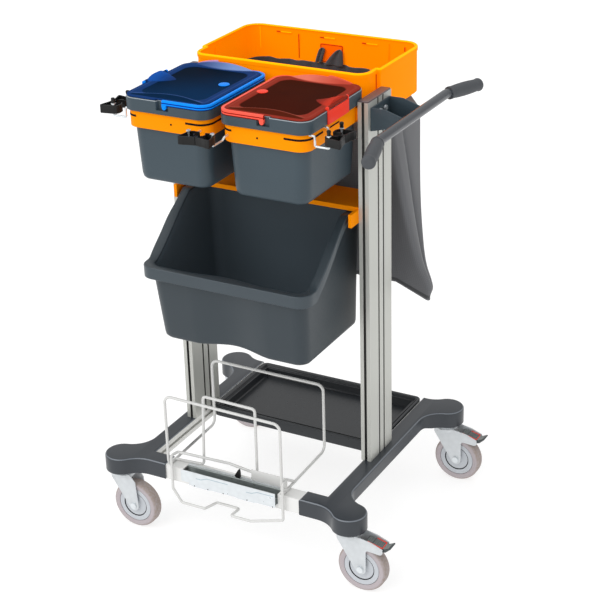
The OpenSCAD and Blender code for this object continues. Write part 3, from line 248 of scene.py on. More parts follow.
class Skin:
    """Surfaces of one piece: points in millimetres, faces and a finish number for each face."""

    def __init__(self):
        self.points, self.faces, self.marks, self.count = [], [], [], 0

    def copy(self):
        """A new skin that starts with the same surfaces."""
        twin = Skin()
        twin.points, twin.faces = self.points[:], self.faces[:]
        twin.marks, twin.count = self.marks[:], self.count
        return twin

    def grid(self, p, wrap=True, caps=(True, True), mark=0):
        """Quads between the rows and columns of p; wrap joins the last column to the first, and a cap
        closes the first or last row with one face. mark is one finish number, one for each band between
        rows, or one for each quad."""
        rows, cols = p.shape[:2]
        i = np.arange(rows * cols).reshape(rows, cols) + self.count
        a, b = (i, np.roll(i, -1, 1)) if wrap else (i[:, :-1], i[:, 1:])
        quads = np.stack((a[:-1], b[:-1], b[1:], a[1:]), -1)
        bands = np.broadcast_to(mark if np.ndim(mark) == 2 else np.reshape(mark, (-1, 1)), quads.shape[:2])
        self.faces += quads.reshape(-1, 4).tolist()
        self.marks += bands.ravel().tolist()
        if caps[0]:
            self.faces.append(i[0, ::-1].tolist())
            self.marks.append(int(bands[0, 0]))
        if caps[1]:
            self.faces.append(i[-1].tolist())
            self.marks.append(int(bands[-1, 0]))
        self.points.append(p.reshape(-1, 3))
        self.count += rows * cols
        return self

    def ring(self, p, mark=0):
        """A closed tube: the last row joins the first as well."""
        return self.grid(np.concatenate((p, p[:1])), caps=(False, False), mark=mark)

    def block(self, lo, hi, edge=0.6, mark=0):
        """A box with rounded upright edges and rims."""
        lo, hi = np.asarray(lo, float), np.asarray(hi, float)
        half, mid = (hi - lo) / 2, (hi + lo) / 2
        edge = min(edge, half.min() * 0.9)
        line = lambda i: rect(half[0], half[1], edge + 0.05, i, mid[:2], 3)
        return self.grid(slab(line, lo[2], hi[2], edge), mark=mark)


def piece(name, skin, finishes, body, nodes=(), crease=32.0, place=None):
    """Makes one object of a skin: doubled points merged, faces turned outwards, smooth but for edges
    sharper than the crease angle. The skin's finish numbers count through finishes, and place moves the
    points, as a mirror or a shift does."""
    points = np.concatenate(skin.points)
    mesh = bpy.data.meshes.new(name)
    mesh.from_pydata(((place(points) if place else points) * MM).tolist(), [], skin.faces)
    mesh.polygons.foreach_set("material_index", skin.marks)
    bm = bmesh.new()
    bm.from_mesh(mesh)
    bmesh.ops.remove_doubles(bm, verts=bm.verts, dist=1e-7)
    bmesh.ops.recalc_face_normals(bm, faces=bm.faces)
    bm.to_mesh(mesh)
    bm.free()
    mesh.shade_smooth()
    mesh.set_sharp_from_angle(angle=math.radians(crease))
    for finish in finishes:
        mesh.materials.append(FINISH[finish])
    obj = bpy.data.objects.new(name, mesh)
    bpy.context.scene.collection.objects.link(obj)
    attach(obj, body)
    if nodes:
        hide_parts(*nodes)
    return obj


def points_of(obj):
    """A piece's points in millimetres, in its mesh's own order."""
    p = np.zeros(len(obj.data.vertices) * 3)
    obj.data.vertices.foreach_get("co", p)
    return p.reshape(-1, 3) / MM


def dress(finish, *nodes):
    """Gives CAD nodes a finish."""
    for n in nodes:
        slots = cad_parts[n].data.materials
        slots.clear()
        slots.append(FINISH[finish])


# Finishes

# The colour sockets of a Mix node: the two colours and the result
MIX_A, MIX_B, MIXED = 6, 7, 2


def per(mm):
    """Scale of a pattern from its real size: how often it repeats in a metre."""
    return 1000 / mm


def shade(rgba, factor):
    """A colour times a factor, with full cover."""
    return (rgba[0] * factor, rgba[1] * factor, rgba[2] * factor, 1.0)


def fill(tree, node, sockets):
    """Sets a node's sockets by name or number: a value, or a link given as (node, output)."""
    for key, value in sockets.items():
        if isinstance(value, tuple) and isinstance(value[0], bpy.types.Node):
            tree.links.new(value[0].outputs[value[1]], node.inputs[key])
        else:
            node.inputs[key].default_value = value
    return node


def add(tree, kind, sockets=None, **settings):
    """Adds a node: settings by attribute, sockets as fill gives them."""
    made = tree.nodes.new(kind)
    for key, value in settings.items():
        setattr(made, key, value)
    return fill(tree, made, sockets or {})


def blank(name):
    """A new material, its tree, its shader and a link to the Object coordinates."""
    m = bpy.data.materials.new(name)
    m.use_nodes = True
    tree = m.node_tree
    return m, tree, tree.nodes["Principled BSDF"], (add(tree, "ShaderNodeTexCoord"), "Object")


def moulded(name, rgba, rough, grain=5.0, relief=0.12, drift=0.08, spec=0.4, glow=0.0, spread=0.07):
    """Injection-moulded plastic: a fine eroded grain that breaks the gloss, drawn as wide as grain says
    in millimetres so that it shows, and a drift of tone over about 160 mm from the flow in the mould. A
    thin bright wall can also be given an emission of its own tone: painted light, standing for light that
    comes through it, though the plastic is no lamp."""
    m, tree, out, where = blank(name)
    fine = add(tree, "ShaderNodeTexNoise", {"Vector": where, "Scale": per(grain), "Detail": 3.0})
    slow = add(tree, "ShaderNodeTexNoise", {"Vector": where, "Scale": per(160), "Detail": 2.0})
    tone = add(tree, "ShaderNodeMix", {"Factor": (slow, "Fac"), MIX_A: shade(rgba, 1 - drift),
                                       MIX_B: shade(rgba, 1 + drift)}, data_type="RGBA")
    gloss = add(tree, "ShaderNodeMapRange", {"Value": (fine, "Fac"), "To Min": rough - spread,
                                             "To Max": rough + spread})
    bump = add(tree, "ShaderNodeBump", {"Height": (fine, "Fac"), "Strength": relief, "Distance": 0.4 * MM})
    # The emission is painted light: the plastic's own tone given off, though it is no lamp
    fill(tree, out, {"Base Color": (tone, MIXED), "Roughness": (gloss, 0), "Normal": (bump, 0), "IOR": 1.49,
                     "Specular IOR Level": spec, "Emission Color": (tone, MIXED), "Emission Strength": glow})
    return m


def tinted(name, rough=0.3, spec=0.001):
    """Tinted polycarbonate, moulded smooth: the lid's own map gives the colour, with painted shade of the
    bucket's dark inside over the open bucket and painted light where the sheet stands up, with faint clouds
    about 40 mm wide. It has next to no gloss, because a reflection of the tray would veil the colour."""
    m, tree, out, where = blank(name)
    own = add(tree, "ShaderNodeAttribute", attribute_name="tint")
    slow = add(tree, "ShaderNodeTexNoise", {"Vector": where, "Scale": per(40), "Detail": 2.0})
    cloud = add(tree, "ShaderNodeMapRange", {"Value": (slow, "Fac"), "To Min": 0.85, "To Max": 1.15})
    tone = add(tree, "ShaderNodeMix", {"Factor": 1.0, MIX_A: (own, "Color"), MIX_B: (cloud, 0)},
               data_type="RGBA", blend_type="MULTIPLY")
    gloss = add(tree, "ShaderNodeMapRange", {"Value": (slow, "Fac"), "To Min": rough - 0.05,
                                             "To Max": rough + 0.05})
    fill(tree, out, {"Base Color": (tone, MIXED), "Roughness": (gloss, 0), "IOR": 1.58,
                     "Specular IOR Level": spec})
    return m


def drawn_metal(name, rgba, axis, post=None, rough=0.42, streak=0.05, metal=0.35):
    """Extruded metal with a satin anodised skin: die lines run along the axis, about 3 mm apart so that
    they show, and shift the tone and the gloss. A slotted post, given as its outer faces in x and y, also
    gets painted shade below those faces, which is inside its slots."""
    m, tree, out, where = blank(name)
    scale = [per(3.0)] * 3
    scale[axis] = per(400)
    stretched = add(tree, "ShaderNodeMapping", {"Vector": where, "Scale": scale})
    lines = add(tree, "ShaderNodeTexNoise", {"Vector": (stretched, 0), "Scale": 1.0, "Detail": 4.0})
    tone = add(tree, "ShaderNodeMix", {"Factor": (lines, "Fac"), MIX_A: shade(rgba, 1 - streak),
                                       MIX_B: shade(rgba, 1 + streak)}, data_type="RGBA")
    # Painted shade: the tone falls to 0.12 of itself more than 2.5 mm inside the post's outer faces, in its
    # slots
    if post:
        split = add(tree, "ShaderNodeSeparateXYZ", {0: where})
        sunk = []
        for end, (low, high) in zip("XY", post):
            aside = add(tree, "ShaderNodeMath", {0: (split, end)}, operation="ABSOLUTE")
            off = add(tree, "ShaderNodeMath", {0: (aside, 0), 1: (low + high) / 2}, operation="SUBTRACT")
            off = add(tree, "ShaderNodeMath", {0: (off, 0)}, operation="ABSOLUTE")
            sunk.append(add(tree, "ShaderNodeMath", {0: (off, 0), 1: (high - low) / 2}, operation="SUBTRACT"))
        face = add(tree, "ShaderNodeMath", {0: (sunk[0], 0), 1: (sunk[1], 0)}, operation="MAXIMUM")
        lit = add(tree, "ShaderNodeMapRange", {"Value": (face, 0), "From Min": -2.5 * MM,
                                               "From Max": -0.4 * MM, "To Min": 0.12})
        tone = add(tree, "ShaderNodeMix", {"Factor": 1.0, MIX_A: (tone, MIXED), MIX_B: (lit, 0)},
                   data_type="RGBA", blend_type="MULTIPLY")
    gloss = add(tree, "ShaderNodeMapRange", {"Value": (lines, "Fac"), "To Min": rough - 0.1,
                                             "To Max": rough + 0.1})
    bump = add(tree, "ShaderNodeBump", {"Height": (lines, "Fac"), "Strength": 0.08, "Distance": 0.3 * MM})
    fill(tree, out, {"Base Color": (tone, MIXED), "Roughness": (gloss, 0), "Normal": (bump, 0),
                     "Metallic": metal})
    return m


def plated(name, rgba, rough, metal):
    """Zinc-plated steel: bright, with cloudy crystal patches about 14 mm wide and faint press marks."""
    m, tree, out, where = blank(name)
    patch = add(tree, "ShaderNodeTexVoronoi", {"Vector": where, "Scale": per(14)})
    cloud = add(tree, "ShaderNodeTexNoise", {"Vector": where, "Scale": per(22), "Detail": 4.0})
    tone = add(tree, "ShaderNodeMix", {"Factor": (patch, "Distance"), MIX_A: rgba, MIX_B: shade(rgba, 0.9)},
               data_type="RGBA")
    gloss = add(tree, "ShaderNodeMapRange", {"Value": (cloud, "Fac"), "To Min": rough - 0.1,
                                             "To Max": rough + 0.14})
    bump = add(tree, "ShaderNodeBump", {"Height": (cloud, "Fac"), "Strength": 0.1, "Distance": 0.6 * MM})
    fill(tree, out, {"Base Color": (tone, MIXED), "Roughness": (gloss, 0), "Normal": (bump, 0),
                     "Metallic": metal})
    return m


def coated(name, rgba):
    """Powder-coated steel: half gloss with an orange peel of about 4 mm."""
    m, tree, out, where = blank(name)
    peel = add(tree, "ShaderNodeTexNoise", {"Vector": where, "Scale": per(4.0), "Detail": 1.0})
    slow = add(tree, "ShaderNodeTexNoise", {"Vector": where, "Scale": per(90), "Detail": 2.0})
    tone = add(tree, "ShaderNodeMix", {"Factor": (slow, "Fac"), MIX_A: shade(rgba, 0.95), MIX_B: rgba},
               data_type="RGBA")
    gloss = add(tree, "ShaderNodeMapRange", {"Value": (peel, "Fac"), "To Min": 0.28, "To Max": 0.42})
    bump = add(tree, "ShaderNodeBump", {"Height": (peel, "Fac"), "Strength": 0.12, "Distance": 0.4 * MM})
    fill(tree, out, {"Base Color": (tone, MIXED), "Roughness": (gloss, 0), "Normal": (bump, 0)})
    return m


def woven(name, rgba):
    """Plain-woven polyester: threads cross over and under, drawn 5 mm apart so that they show, with a
    soft sheen and broad uneven shade where the cloth is creased. Reads the cloth's own map, in metres. A
    Wave node's bands repeat every two pi over twenty times its scale."""
    m, tree, out, where = blank(name)
    thread = {"Vector": (where[0], "UV"), "Scale": 2 * math.pi * per(5.0) / 20, "Distortion": 0.6,
              "Detail": 1.0}
    warp = add(tree, "ShaderNodeTexWave", thread, bands_direction="X")
    weft = add(tree, "ShaderNodeTexWave", thread, bands_direction="Y")
    cross = add(tree, "ShaderNodeMath", {0: (warp, "Fac"), 1: (weft, "Fac")}, operation="MULTIPLY")
    broad = add(tree, "ShaderNodeTexNoise", {"Vector": where, "Scale": per(150), "Detail": 2.0})
    both = add(tree, "ShaderNodeMath", {0: (cross, 0), 1: (broad, "Fac")}, operation="ADD")
    share = add(tree, "ShaderNodeMapRange", {"Value": (both, 0), "From Min": 0.3, "From Max": 1.4})
    tone = add(tree, "ShaderNodeMix", {"Factor": (share, 0), MIX_A: shade(rgba, 0.86),
                                       MIX_B: shade(rgba, 1.12)}, data_type="RGBA")
    bump = add(tree, "ShaderNodeBump", {"Height": (cross, 0), "Strength": 0.25, "Distance": 0.6 * MM})
    fill(tree, out, {"Base Color": (tone, MIXED), "Normal": (bump, 0), "Roughness": 0.82,
                     "Specular IOR Level": 0.25, "Sheen Weight": 0.2, "Sheen Roughness": 0.5})
    return m


def rubber(name, rgba, worn):
    """Thermoplastic rubber tread: matt, paler on the flanks and browner with dust on the running face.
    The tyre's own map tells flank from running face."""
    m, tree, out, where = blank(name)
    across = add(tree, "ShaderNodeAttribute", attribute_name="run")
    dust = add(tree, "ShaderNodeTexNoise", {"Vector": where, "Scale": per(6.0), "Detail": 4.0})
    mixed = add(tree, "ShaderNodeMath", {0: (across, "Fac"), 1: (dust, "Fac")}, operation="MULTIPLY")
    share = add(tree, "ShaderNodeMapRange", {"Value": (mixed, 0), "From Min": 0.1, "From Max": 0.6})
    tone = add(tree, "ShaderNodeMix", {"Factor": (share, 0), MIX_A: rgba, MIX_B: worn}, data_type="RGBA")
    gloss = add(tree, "ShaderNodeMapRange", {"Value": (dust, "Fac"), "To Min": 0.5, "To Max": 0.75})
    bump = add(tree, "ShaderNodeBump", {"Height": (dust, "Fac"), "Strength": 0.1, "Distance": 0.4 * MM})
    fill(tree, out, {"Base Color": (tone, MIXED), "Roughness": (gloss, 0), "Normal": (bump, 0),
                     "Specular IOR Level": 0.3})
    return m


class CART_OT_finishes(bpy.types.Operator):
    """Makes the finishes that the pieces share."""
    bl_idname = "cart.finishes"
    bl_label = "Finishes"

    def execute(self, context):
        c = {key: tuple(getattr(context.scene.cart_colours, key)) for key in CartColours.__annotations__}
        low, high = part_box("right_post")
        post = ((low[0], high[0]), (low[1], high[1]))
        even = dict(drift=0.03)
        pale = dict(drift=0.03, spec=0.03)
        bright = dict(drift=0.05, spec=0.06)
        FINISH.update(
            grey=moulded("polypropylene_grey", c["grey"], 0.42, spec=0.3),
            # A pale grey for the top edge of the buckets' rim: painted highlight
            grey_rim=moulded("polypropylene_grey_rubbed", lin("#9aa1a7"), 0.35),
            # A paler grey for the inside of the bin and the buckets: painted light that lifts the shade
            # inside them
            inner=moulded("polypropylene_grey_inside", lin("#525d65"), 0.5, spec=0.15),
            bin=moulded("polypropylene_bin", c["bin"], 0.4, spec=0.35),
            # A paler copy of the bin plastic for its rim band: painted highlight
            bin_rim=moulded("polypropylene_bin_rim", shade(c["bin"], 1.3), 0.32, spec=0.45),
            # A darker copy of the bin plastic under its lip: painted shadow
            bin_under=moulded("polypropylene_bin_under", shade(c["bin"], 0.45), 0.5, spec=0.1),
            cover=moulded("polypropylene_cover", c["cover"], 0.3, grain=1.5, relief=0.02, spread=0.03),
            # A paler grey for the middle of the covers' rounded top edge: painted highlight
            cover_edge=moulded("polypropylene_cover_edge", lin("#6b7178"), 0.25, relief=0.02, spec=0.5),
            # The orange, blue and red plastics below light up with an emission of their own tone: painted
            # light
            orange=moulded("polypropylene_orange", c["orange"], 0.45, spec=0.01, glow=0.32, **even),
            orange_low=moulded("polypropylene_orange_carrier", lin("#ff9300"), 0.45, spec=0.04, **even),
            # A darker, redder orange for the tray's sunk window: painted shade in the recess, with an
            # emission of painted light
            orange_deep=moulded("polypropylene_orange_recess", lin("#ff6a00"), 0.5, glow=0.25, **pale),
            # A dark red orange for the tray's slots, lines and window edge: painted shadow
            orange_edge=moulded("polypropylene_orange_shadow", lin("#d8400c"), 0.5, spec=0.08, **even),
            # A yellower orange for the tray's rolled rim and the lit edges of its lines and slots: painted
            # highlight, with an emission of painted light
            orange_light=moulded("polypropylene_orange_gate", lin("#ffb400"), 0.45, glow=0.3, **pale),
            blue=moulded("polypropylene_blue", c["blue"], 0.3, glow=0.1, **bright),
            red=moulded("polypropylene_red", c["red"], 0.3, glow=0.1, **bright),
            blue_bail=moulded("polypropylene_blue_bail", lin("#0a86ee"), 0.3, glow=0.15, **bright),
            red_bail=moulded("polypropylene_red_bail", lin("#f05a49"), 0.3, glow=0.15, **bright),
            # Darker blue and red for the recessed faces beside the bails' ridges: painted shade
            blue_deep=moulded("polypropylene_blue_groove", lin("#0338a0"), 0.4, spec=0.05),
            red_deep=moulded("polypropylene_red_groove", lin("#a8281a"), 0.4, spec=0.05),
            blue_lid=tinted("polycarbonate_blue"),
            red_lid=tinted("polycarbonate_red"),
            black=moulded("nylon_black", c["black"], 0.4, spec=0.25),
            shelf=moulded("polypropylene_black", c["shelf"], 0.3),
            # Near-black for holes, grooves and slots: painted shadow
            dark=moulded("shadow_slot", lin("#0d0d10"), 0.7, drift=0.02, spec=0.1),
            cap=moulded("polyamide_cap", lin("#625254"), 0.3),
            tube=moulded("painted_tube", lin("#3b3f45"), 0.24, relief=0.04, spec=0.6),
            grip=moulded("rubber_grip", lin("#4a4d51"), 0.55, relief=0.3, spec=0.3),
            pedal=moulded("nylon_grey", lin("#43494a"), 0.35),
            spoon=moulded("nylon_grey_worn", lin("#7c8180"), 0.35),
            hub=moulded("nylon_hub", c["hub"], 0.42, drift=0.04, spec=0.3),
            # The posts' finish paints shade inside their slots
            alloy=drawn_metal("anodised_aluminium", lin("#c0c1bb"), 2, post),
            alloy_x=drawn_metal("anodised_aluminium_level", lin("#d6d5d0"), 0),
            alloy_y=drawn_metal("anodised_aluminium_rails", lin("#dcdcd8"), 1),
            zinc=plated("zinc_plated_steel", lin("#e2e7ea"), 0.3, 0.7),
            # A darker zinc for the inside of the channel's trough: painted shade
            zinc_dark=plated("zinc_plated_steel_inside", lin("#868c8b"), 0.3, 0.5),
            zinc_press=plated("zinc_plated_steel_pressed", lin("#b4c4cc"), 0.3, 0.6),
            fork=plated("zinc_plated_steel_fork", lin("#d3d7da"), 0.34, 0.45),
            coat=coated("powder_coat_white", c["coat"]),
            wire=coated("powder_coat_wire", c["wire"]),
            cloth=woven("polyester_weave", c["cloth"]),
            cloth_hem=woven("polyester_weave_hem", lin("#4c5054")),
            cloth_seam=woven("polyester_weave_seam", shade(c["cloth"], 0.45)),
            tread=rubber("grey_rubber", c["tread"], lin("#9a8d86")))
        return {"FINISHED"}


# Base

(TOE_X, _, RAIL_LOW), (_, _, DECK) = box_mm("right_base_cover")
RAIL_IN = box_mm("cross_rails")[1][0]
# Base cover: wall, round pads over the castors, spine along the rail, and the lines and hollow arcs of
# toe and heel
COVER_WALL = 3.0
PAD_X, PAD_FRONT, PAD_BACK, PAD_R = 320.0, -285.5, 287.0, 43.0
SPINE_X, NECK_R = 286.0, 60.0
TOE_Y, TOE_BACK, TOE_R = -291.0, -245.0, 70.0
HEEL_Y, HEEL_R = 305.0, 60.0
# Step between the two points where the skirt's height jumps
JUMP = 0.6


def cover_line(i):
    """Outline of the right base cover drawn in by i: two round pads joined to the spine and the toes by
    hollow arcs that touch them. Returns the points and whether the skirt hangs there."""
    r, toe_r, neck_r, heel_r = PAD_R - i, TOE_R + i, NECK_R + i, HEEL_R + i
    toe_x, toe_y, toe_back = TOE_X + i, TOE_Y + i, TOE_BACK - i
    heel_y, spine, inner = HEEL_Y - i, SPINE_X - i, RAIL_IN + i
    front, back = (PAD_X, PAD_FRONT), (PAD_X, PAD_BACK)
    toe_c = (PAD_X - math.sqrt((toe_r + r) ** 2 - (PAD_FRONT - toe_y + toe_r) ** 2), toe_y - toe_r)
    toe_a = math.degrees(math.atan2(PAD_FRONT - toe_c[1], PAD_X - toe_c[0]))
    heel_c = (PAD_X - math.sqrt((heel_r + r) ** 2 - (heel_y + heel_r - PAD_BACK) ** 2), heel_y + heel_r)
    heel_a = math.degrees(math.atan2(PAD_BACK - heel_c[1], PAD_X - heel_c[0]))
    dx = spine + neck_r - PAD_X
    dy = math.sqrt((neck_r + r) ** 2 - dx ** 2)
    neck = math.degrees(math.atan2(dy, dx))
    hang = np.concatenate((
        [(toe_x, toe_y)],
        arc(toe_c, toe_r, 90, toe_a, 12), arc(front, r, toe_a + 180, 360 + neck, 36),
        arc((spine + neck_r, PAD_FRONT + dy), neck_r, 180 + neck, 180, 12),
        arc((spine + neck_r, PAD_BACK - dy), neck_r, 180, 180 - neck, 12),
        arc(back, r, 360 - neck, 540 + heel_a, 36), arc(heel_c, heel_r, heel_a, -90, 12),
        [(inner, heel_y)]))
    bare = np.array(((inner, heel_y - JUMP), (inner, toe_back + JUMP)))
    rear = np.array(((inner, toe_back), (toe_x, toe_back)))
    end = np.array(((toe_x, toe_back - JUMP), (toe_x, toe_y + JUMP)))
    hung = np.concatenate((np.ones(len(hang)), np.zeros(2), np.ones(2), np.zeros(2)))
    return np.concatenate((hang, bare, rear, end)), hung


class CART_OT_base_covers(bpy.types.Operator):
    """Adds the grey base covers with soft top edges and hanging skirts."""
    bl_idname = "cart.base_covers"
    bl_label = "Base covers"

    def execute(self, context):
        edge = context.scene.cart_sizes.cover_edge / MM
        line, hang = cover_line(0.0)
        # The skirt is 8 mm shorter along the spine, between the pads
        middle = smooth((232.0 - np.abs(line[:, 1])) / 30.0) * (line[:, 0] < 300)
        low = np.where(hang > 0, RAIL_LOW + 8.0 * middle, DECK - COVER_WALL - 0.1)
        inner = cover_line(COVER_WALL)[0]
        rows = [at(inner, DECK - COVER_WALL), at(inner, low), at(line, low)]
        rows += [at(cover_line(i)[0], np.maximum(DECK - d, low + 0.05)) for i, d in soft_edge(edge, 6)]
        # The two middle bands of the rounded top edge take the paler grey: a painted highlight, not wear
        worn = [0] * 5 + [1] * 2 + [0] * (len(rows) - 8)
        skin = Skin().grid(np.stack(rows), mark=worn)
        for side, place in (("right", None), ("left", flip)):
            piece(side + "_cover", skin, ("cover", "cover_edge"), "cart_frame", [side + "_base_cover"],
                  30, place)
        return {"FINISHED"}


class CART_OT_rear_tray(bpy.types.Operator):
    """Adds the near-black rear tray with its rolled rim, step and well."""
    bl_idname = "cart.rear_tray"
    bl_label = "Rear tray"

    def execute(self, context):
        (_, front, low), (half, back, top) = box_mm("rear_tray")
        line = lambda i: rect(half, (back - front) / 2, 16.0, i, (0.0, (front + back) / 2))
        rim, step = 12.0, 6.0
        rows = [at(line(2), low), at(line(0), low + 2)]
        rows += [at(line(i), top - d) for i, d in soft_edge(3.0)]
        rows += [at(line(rim - d), top - i) for i, d in reversed(soft_edge(3.0))]
        rows += [at(line(rim + 0.4), top - 5), at(line(rim + 1.2), top - step), at(line(17.5), top - step)]
        rows += [at(line(19 - d), top - step - i) for i, d in reversed(soft_edge(1.5))]
        rows += [at(line(21), low + 6.5), at(line(23.5), low + 4)]
        piece("rear_tray_moulding", Skin().grid(np.stack(rows)), ["shelf"], "cart_frame", ["rear_tray"])
        return {"FINISHED"}


class CART_OT_rails(bpy.types.Operator):
    """Finishes the rails, bars, posts, beam, plates, axles, bolts and bin bracket, and caps the posts."""
    bl_idname = "cart.rails"
    bl_label = "Rails and posts"

    def execute(self, context):
        dress("alloy", "left_post", "right_post")
        dress("alloy_y", "side_rails")
        dress("alloy_x", "cross_rails", "upper_beam")
        dress("coat", "front_rail")
        dress("zinc", "castor_plates", "bracket_bolts", "axle_fl", "axle_fr", "axle_rl", "axle_rr")
        dress("orange_low", "bin_bracket")
        low, high = box_mm("post_caps")[:, 2]
        skin = Skin()
        for post in ("left_post", "right_post"):
            start, end = box_mm(post)[:, :2]
            half, mid = (end - start) / 2, (end + start) / 2
            line = lambda i: rect(half[0], half[1], 5.0, i, mid, 5)
            skin.grid(np.stack([at(line(0), low)] + [at(line(i), high - d) for i, d in soft_edge(1.6)]))
        piece("post_end_caps", skin, ["cap"], "cart_frame", ["post_caps"])
        return {"FINISHED"}


class CART_OT_channel(bpy.types.Operator):
    """Adds the zinc channel in the front rail: folded sheet with a hanging lip, its trough in a darker zinc
    as painted shade, pressed lines and small holes drawn as near-black plugs of painted shadow, and the black
    stop on its rear edge."""
    bl_idname = "cart.channel"
    bl_label = "Front channel"

    def execute(self, context):
        (x0, y0, _), (x1, rear, top) = box_mm("mop_channel")
        sheet, flange, floor = 1.5, 10.0, 172.3
        wall, bed = rear - flange - sheet / 2, floor + 0.8
        ledge = box_mm("front_rail")[1][2] + sheet / 2
        fold = ((y0, top), (y0, bed), (wall, bed), (wall, ledge), (rear - 0.2, ledge))
        mid = rounded_path(fold, 2.2, 4)
        ways = unit(np.gradient(mid, axis=0))
        off = np.stack((-ways[:, 1], ways[:, 0]), -1) * sheet / 2
        loop = np.concatenate((mid + off, (mid - off)[::-1])) + np.array((sheet / 2, 0.0))
        runs = 60
        stations = np.broadcast_to(np.linspace(x0, x1, runs)[:, None, None], (runs, len(loop), 1))
        folded = np.concatenate((stations, np.broadcast_to(loop[None], (runs, len(loop), 2))), -1)
        # The inside of the trough takes the darker zinc: painted shade
        trough = np.zeros(len(loop), int)
        trough[1:len(mid) - 2] = 2
        skin = Skin().grid(folded, mark=np.broadcast_to(trough, (runs - 1, len(loop))))
        # The lip hangs 2.2 mm lower over a part of every 126 mm
        along = np.linspace(x0 + 22, x1, 240)
        low = 167.6 - 2.2 * smooth(np.abs((along + 80.0) % 126.0 - 63.0) / 9.0 - 3.6)
        edge = lambda y, z: np.stack((along, np.full_like(along, y), np.broadcast_to(z, along.shape)), -1)
        root = floor + 3.0
        skin.grid(np.stack((edge(y0, root), edge(y0, low), edge(y0 + sheet, low), edge(y0 + sheet, root)), 1))
        line = np.array(((-0.9, -0.25), (0.9, -0.25), (0.9, 0.25), (-0.9, 0.25)))
        for x, z, end in ((-80.0, 190.5, -3.0), (62.0, 190.7, 124.0)):
            up = z + 7.2
            mark = rounded_path(((x - 14, y0, z), (x, y0, z), (x + 18, y0, up), (end, y0, up)), 4.0, 4)
            skin.grid(sweep(mark, line, (0, 1, 0)), mark=3)
        # Each hole is a near-black plug: painted shadow in the hole
        hole = along_y(turned(((1.5, -y0 - 0.4), (1.5, -y0 + 0.2)), 16))
        for x in (-99.0, -61.0, -17.0, 50.0, 121.0):
            skin.grid(hole + (x, 0, 168.4), mark=1)
        piece("mop_channel_sheet", skin, ("zinc", "dark", "zinc_dark", "zinc_press"), "cart_frame",
              ["mop_channel"], 40)
        wedge = ((-2.0, 206.6), (2.0, 202.2), (13.0, 202.2), (13.6, 214.0), (12.4, 225.0), (9.0, 225.4),
                 (3.0, 215.0))
        rows = slab(lambda i: outline(wedge, 1.4, i, 3), 262.0, 269.0, 0.8)
        piece("channel_stop_wedge", Skin().grid(along_y(rows)), ["black"], "cart_frame", ["channel_stop"],
              35)
        return {"FINISHED"}


class CART_OT_rack(bpy.types.Operator):
    """Adds the white wire rack: bent wires carried along their runs, and the plate."""
    bl_idname = "cart.rack"
    bl_label = "Wire rack"

    def execute(self, context):
        wire = 7.2
        low = DECK
        start = (-180.5, -174.5, low)
        hoops = (start, (-177, -291, low), (-177, -291, 397), (143, -291, 393.5), (143, -291, low),
                 (136, -58, low), (136, -58, 386), (-184, -58, 386), (-184, -58, low), start)
        divider = ((-178, -258, low), (-100, -250, low), (-100, -238, 388), (45, -238, 386), (45, -238, low))
        # The loop hangs in front of the channel, with a dent in the middle of its lowest run
        face, high, dip = -297, 237, 108
        loop = ((45, -238, 207), (-32, -242, 219), (-159, -275, high), (-164, face, high), (-165, face, 143),
                (-141, face, dip), (-75, face, dip), (-62, -260, dip), (3, -260, dip), (-1, face, dip),
                (55, face, dip), (147, face, 136), (149, face, high), (146, -273, high), (138, -223, low))
        link = np.linspace((45, -237, 208), (45, -263, 208), 4)
        skin = Skin()
        for path in (rounded_path(hoops, 18, 8), rounded_path(divider, 9, 8), rounded_path(loop, 6, 6), link):
            skin.grid(tube(path, wire))
        skin.block((43, -264, low), (142, -261, low + 30), 1.2)
        piece("rack_wire", skin, ["wire"], "cart_frame", ["wire_rack"], 50)
        return {"FINISHED"}


# Castors

# Wheel radius and how far the axle trails the swivel axis
WHEEL_R, TRAIL = 62.5, 36.0


def swivel_foot(name):
    """Where a castor's swivel axis meets the floor: under the wheel's middle, less the trail."""
    return box_mm("tyre_" + name).mean(0) - (TRAIL, 0.0, WHEEL_R)


def leg_line(braked):
    """Side outline of a fork's leg about the swivel axis: down to a round end at the axle and, on a
    braked castor, out to an arm."""
    top = 149.7
    foot = arc((TRAIL, WHEEL_R), 14.0, 215, 360, 12)
    arm = np.concatenate((
        [(50.0, 110.0)], arc((57.0, 112.5), 7.0, 180, 100, 6), [(82.0, 116.9)],
        arc((87.5, 123.5), 6.4, 262, 380, 6), [(93.6, 132.4), (64.1, 143.7), (29.0, top)]))
    return np.concatenate(([(-27, top), (-26, 133.7)], foot, arm if braked else [(44, 129.7), (29, top)]))


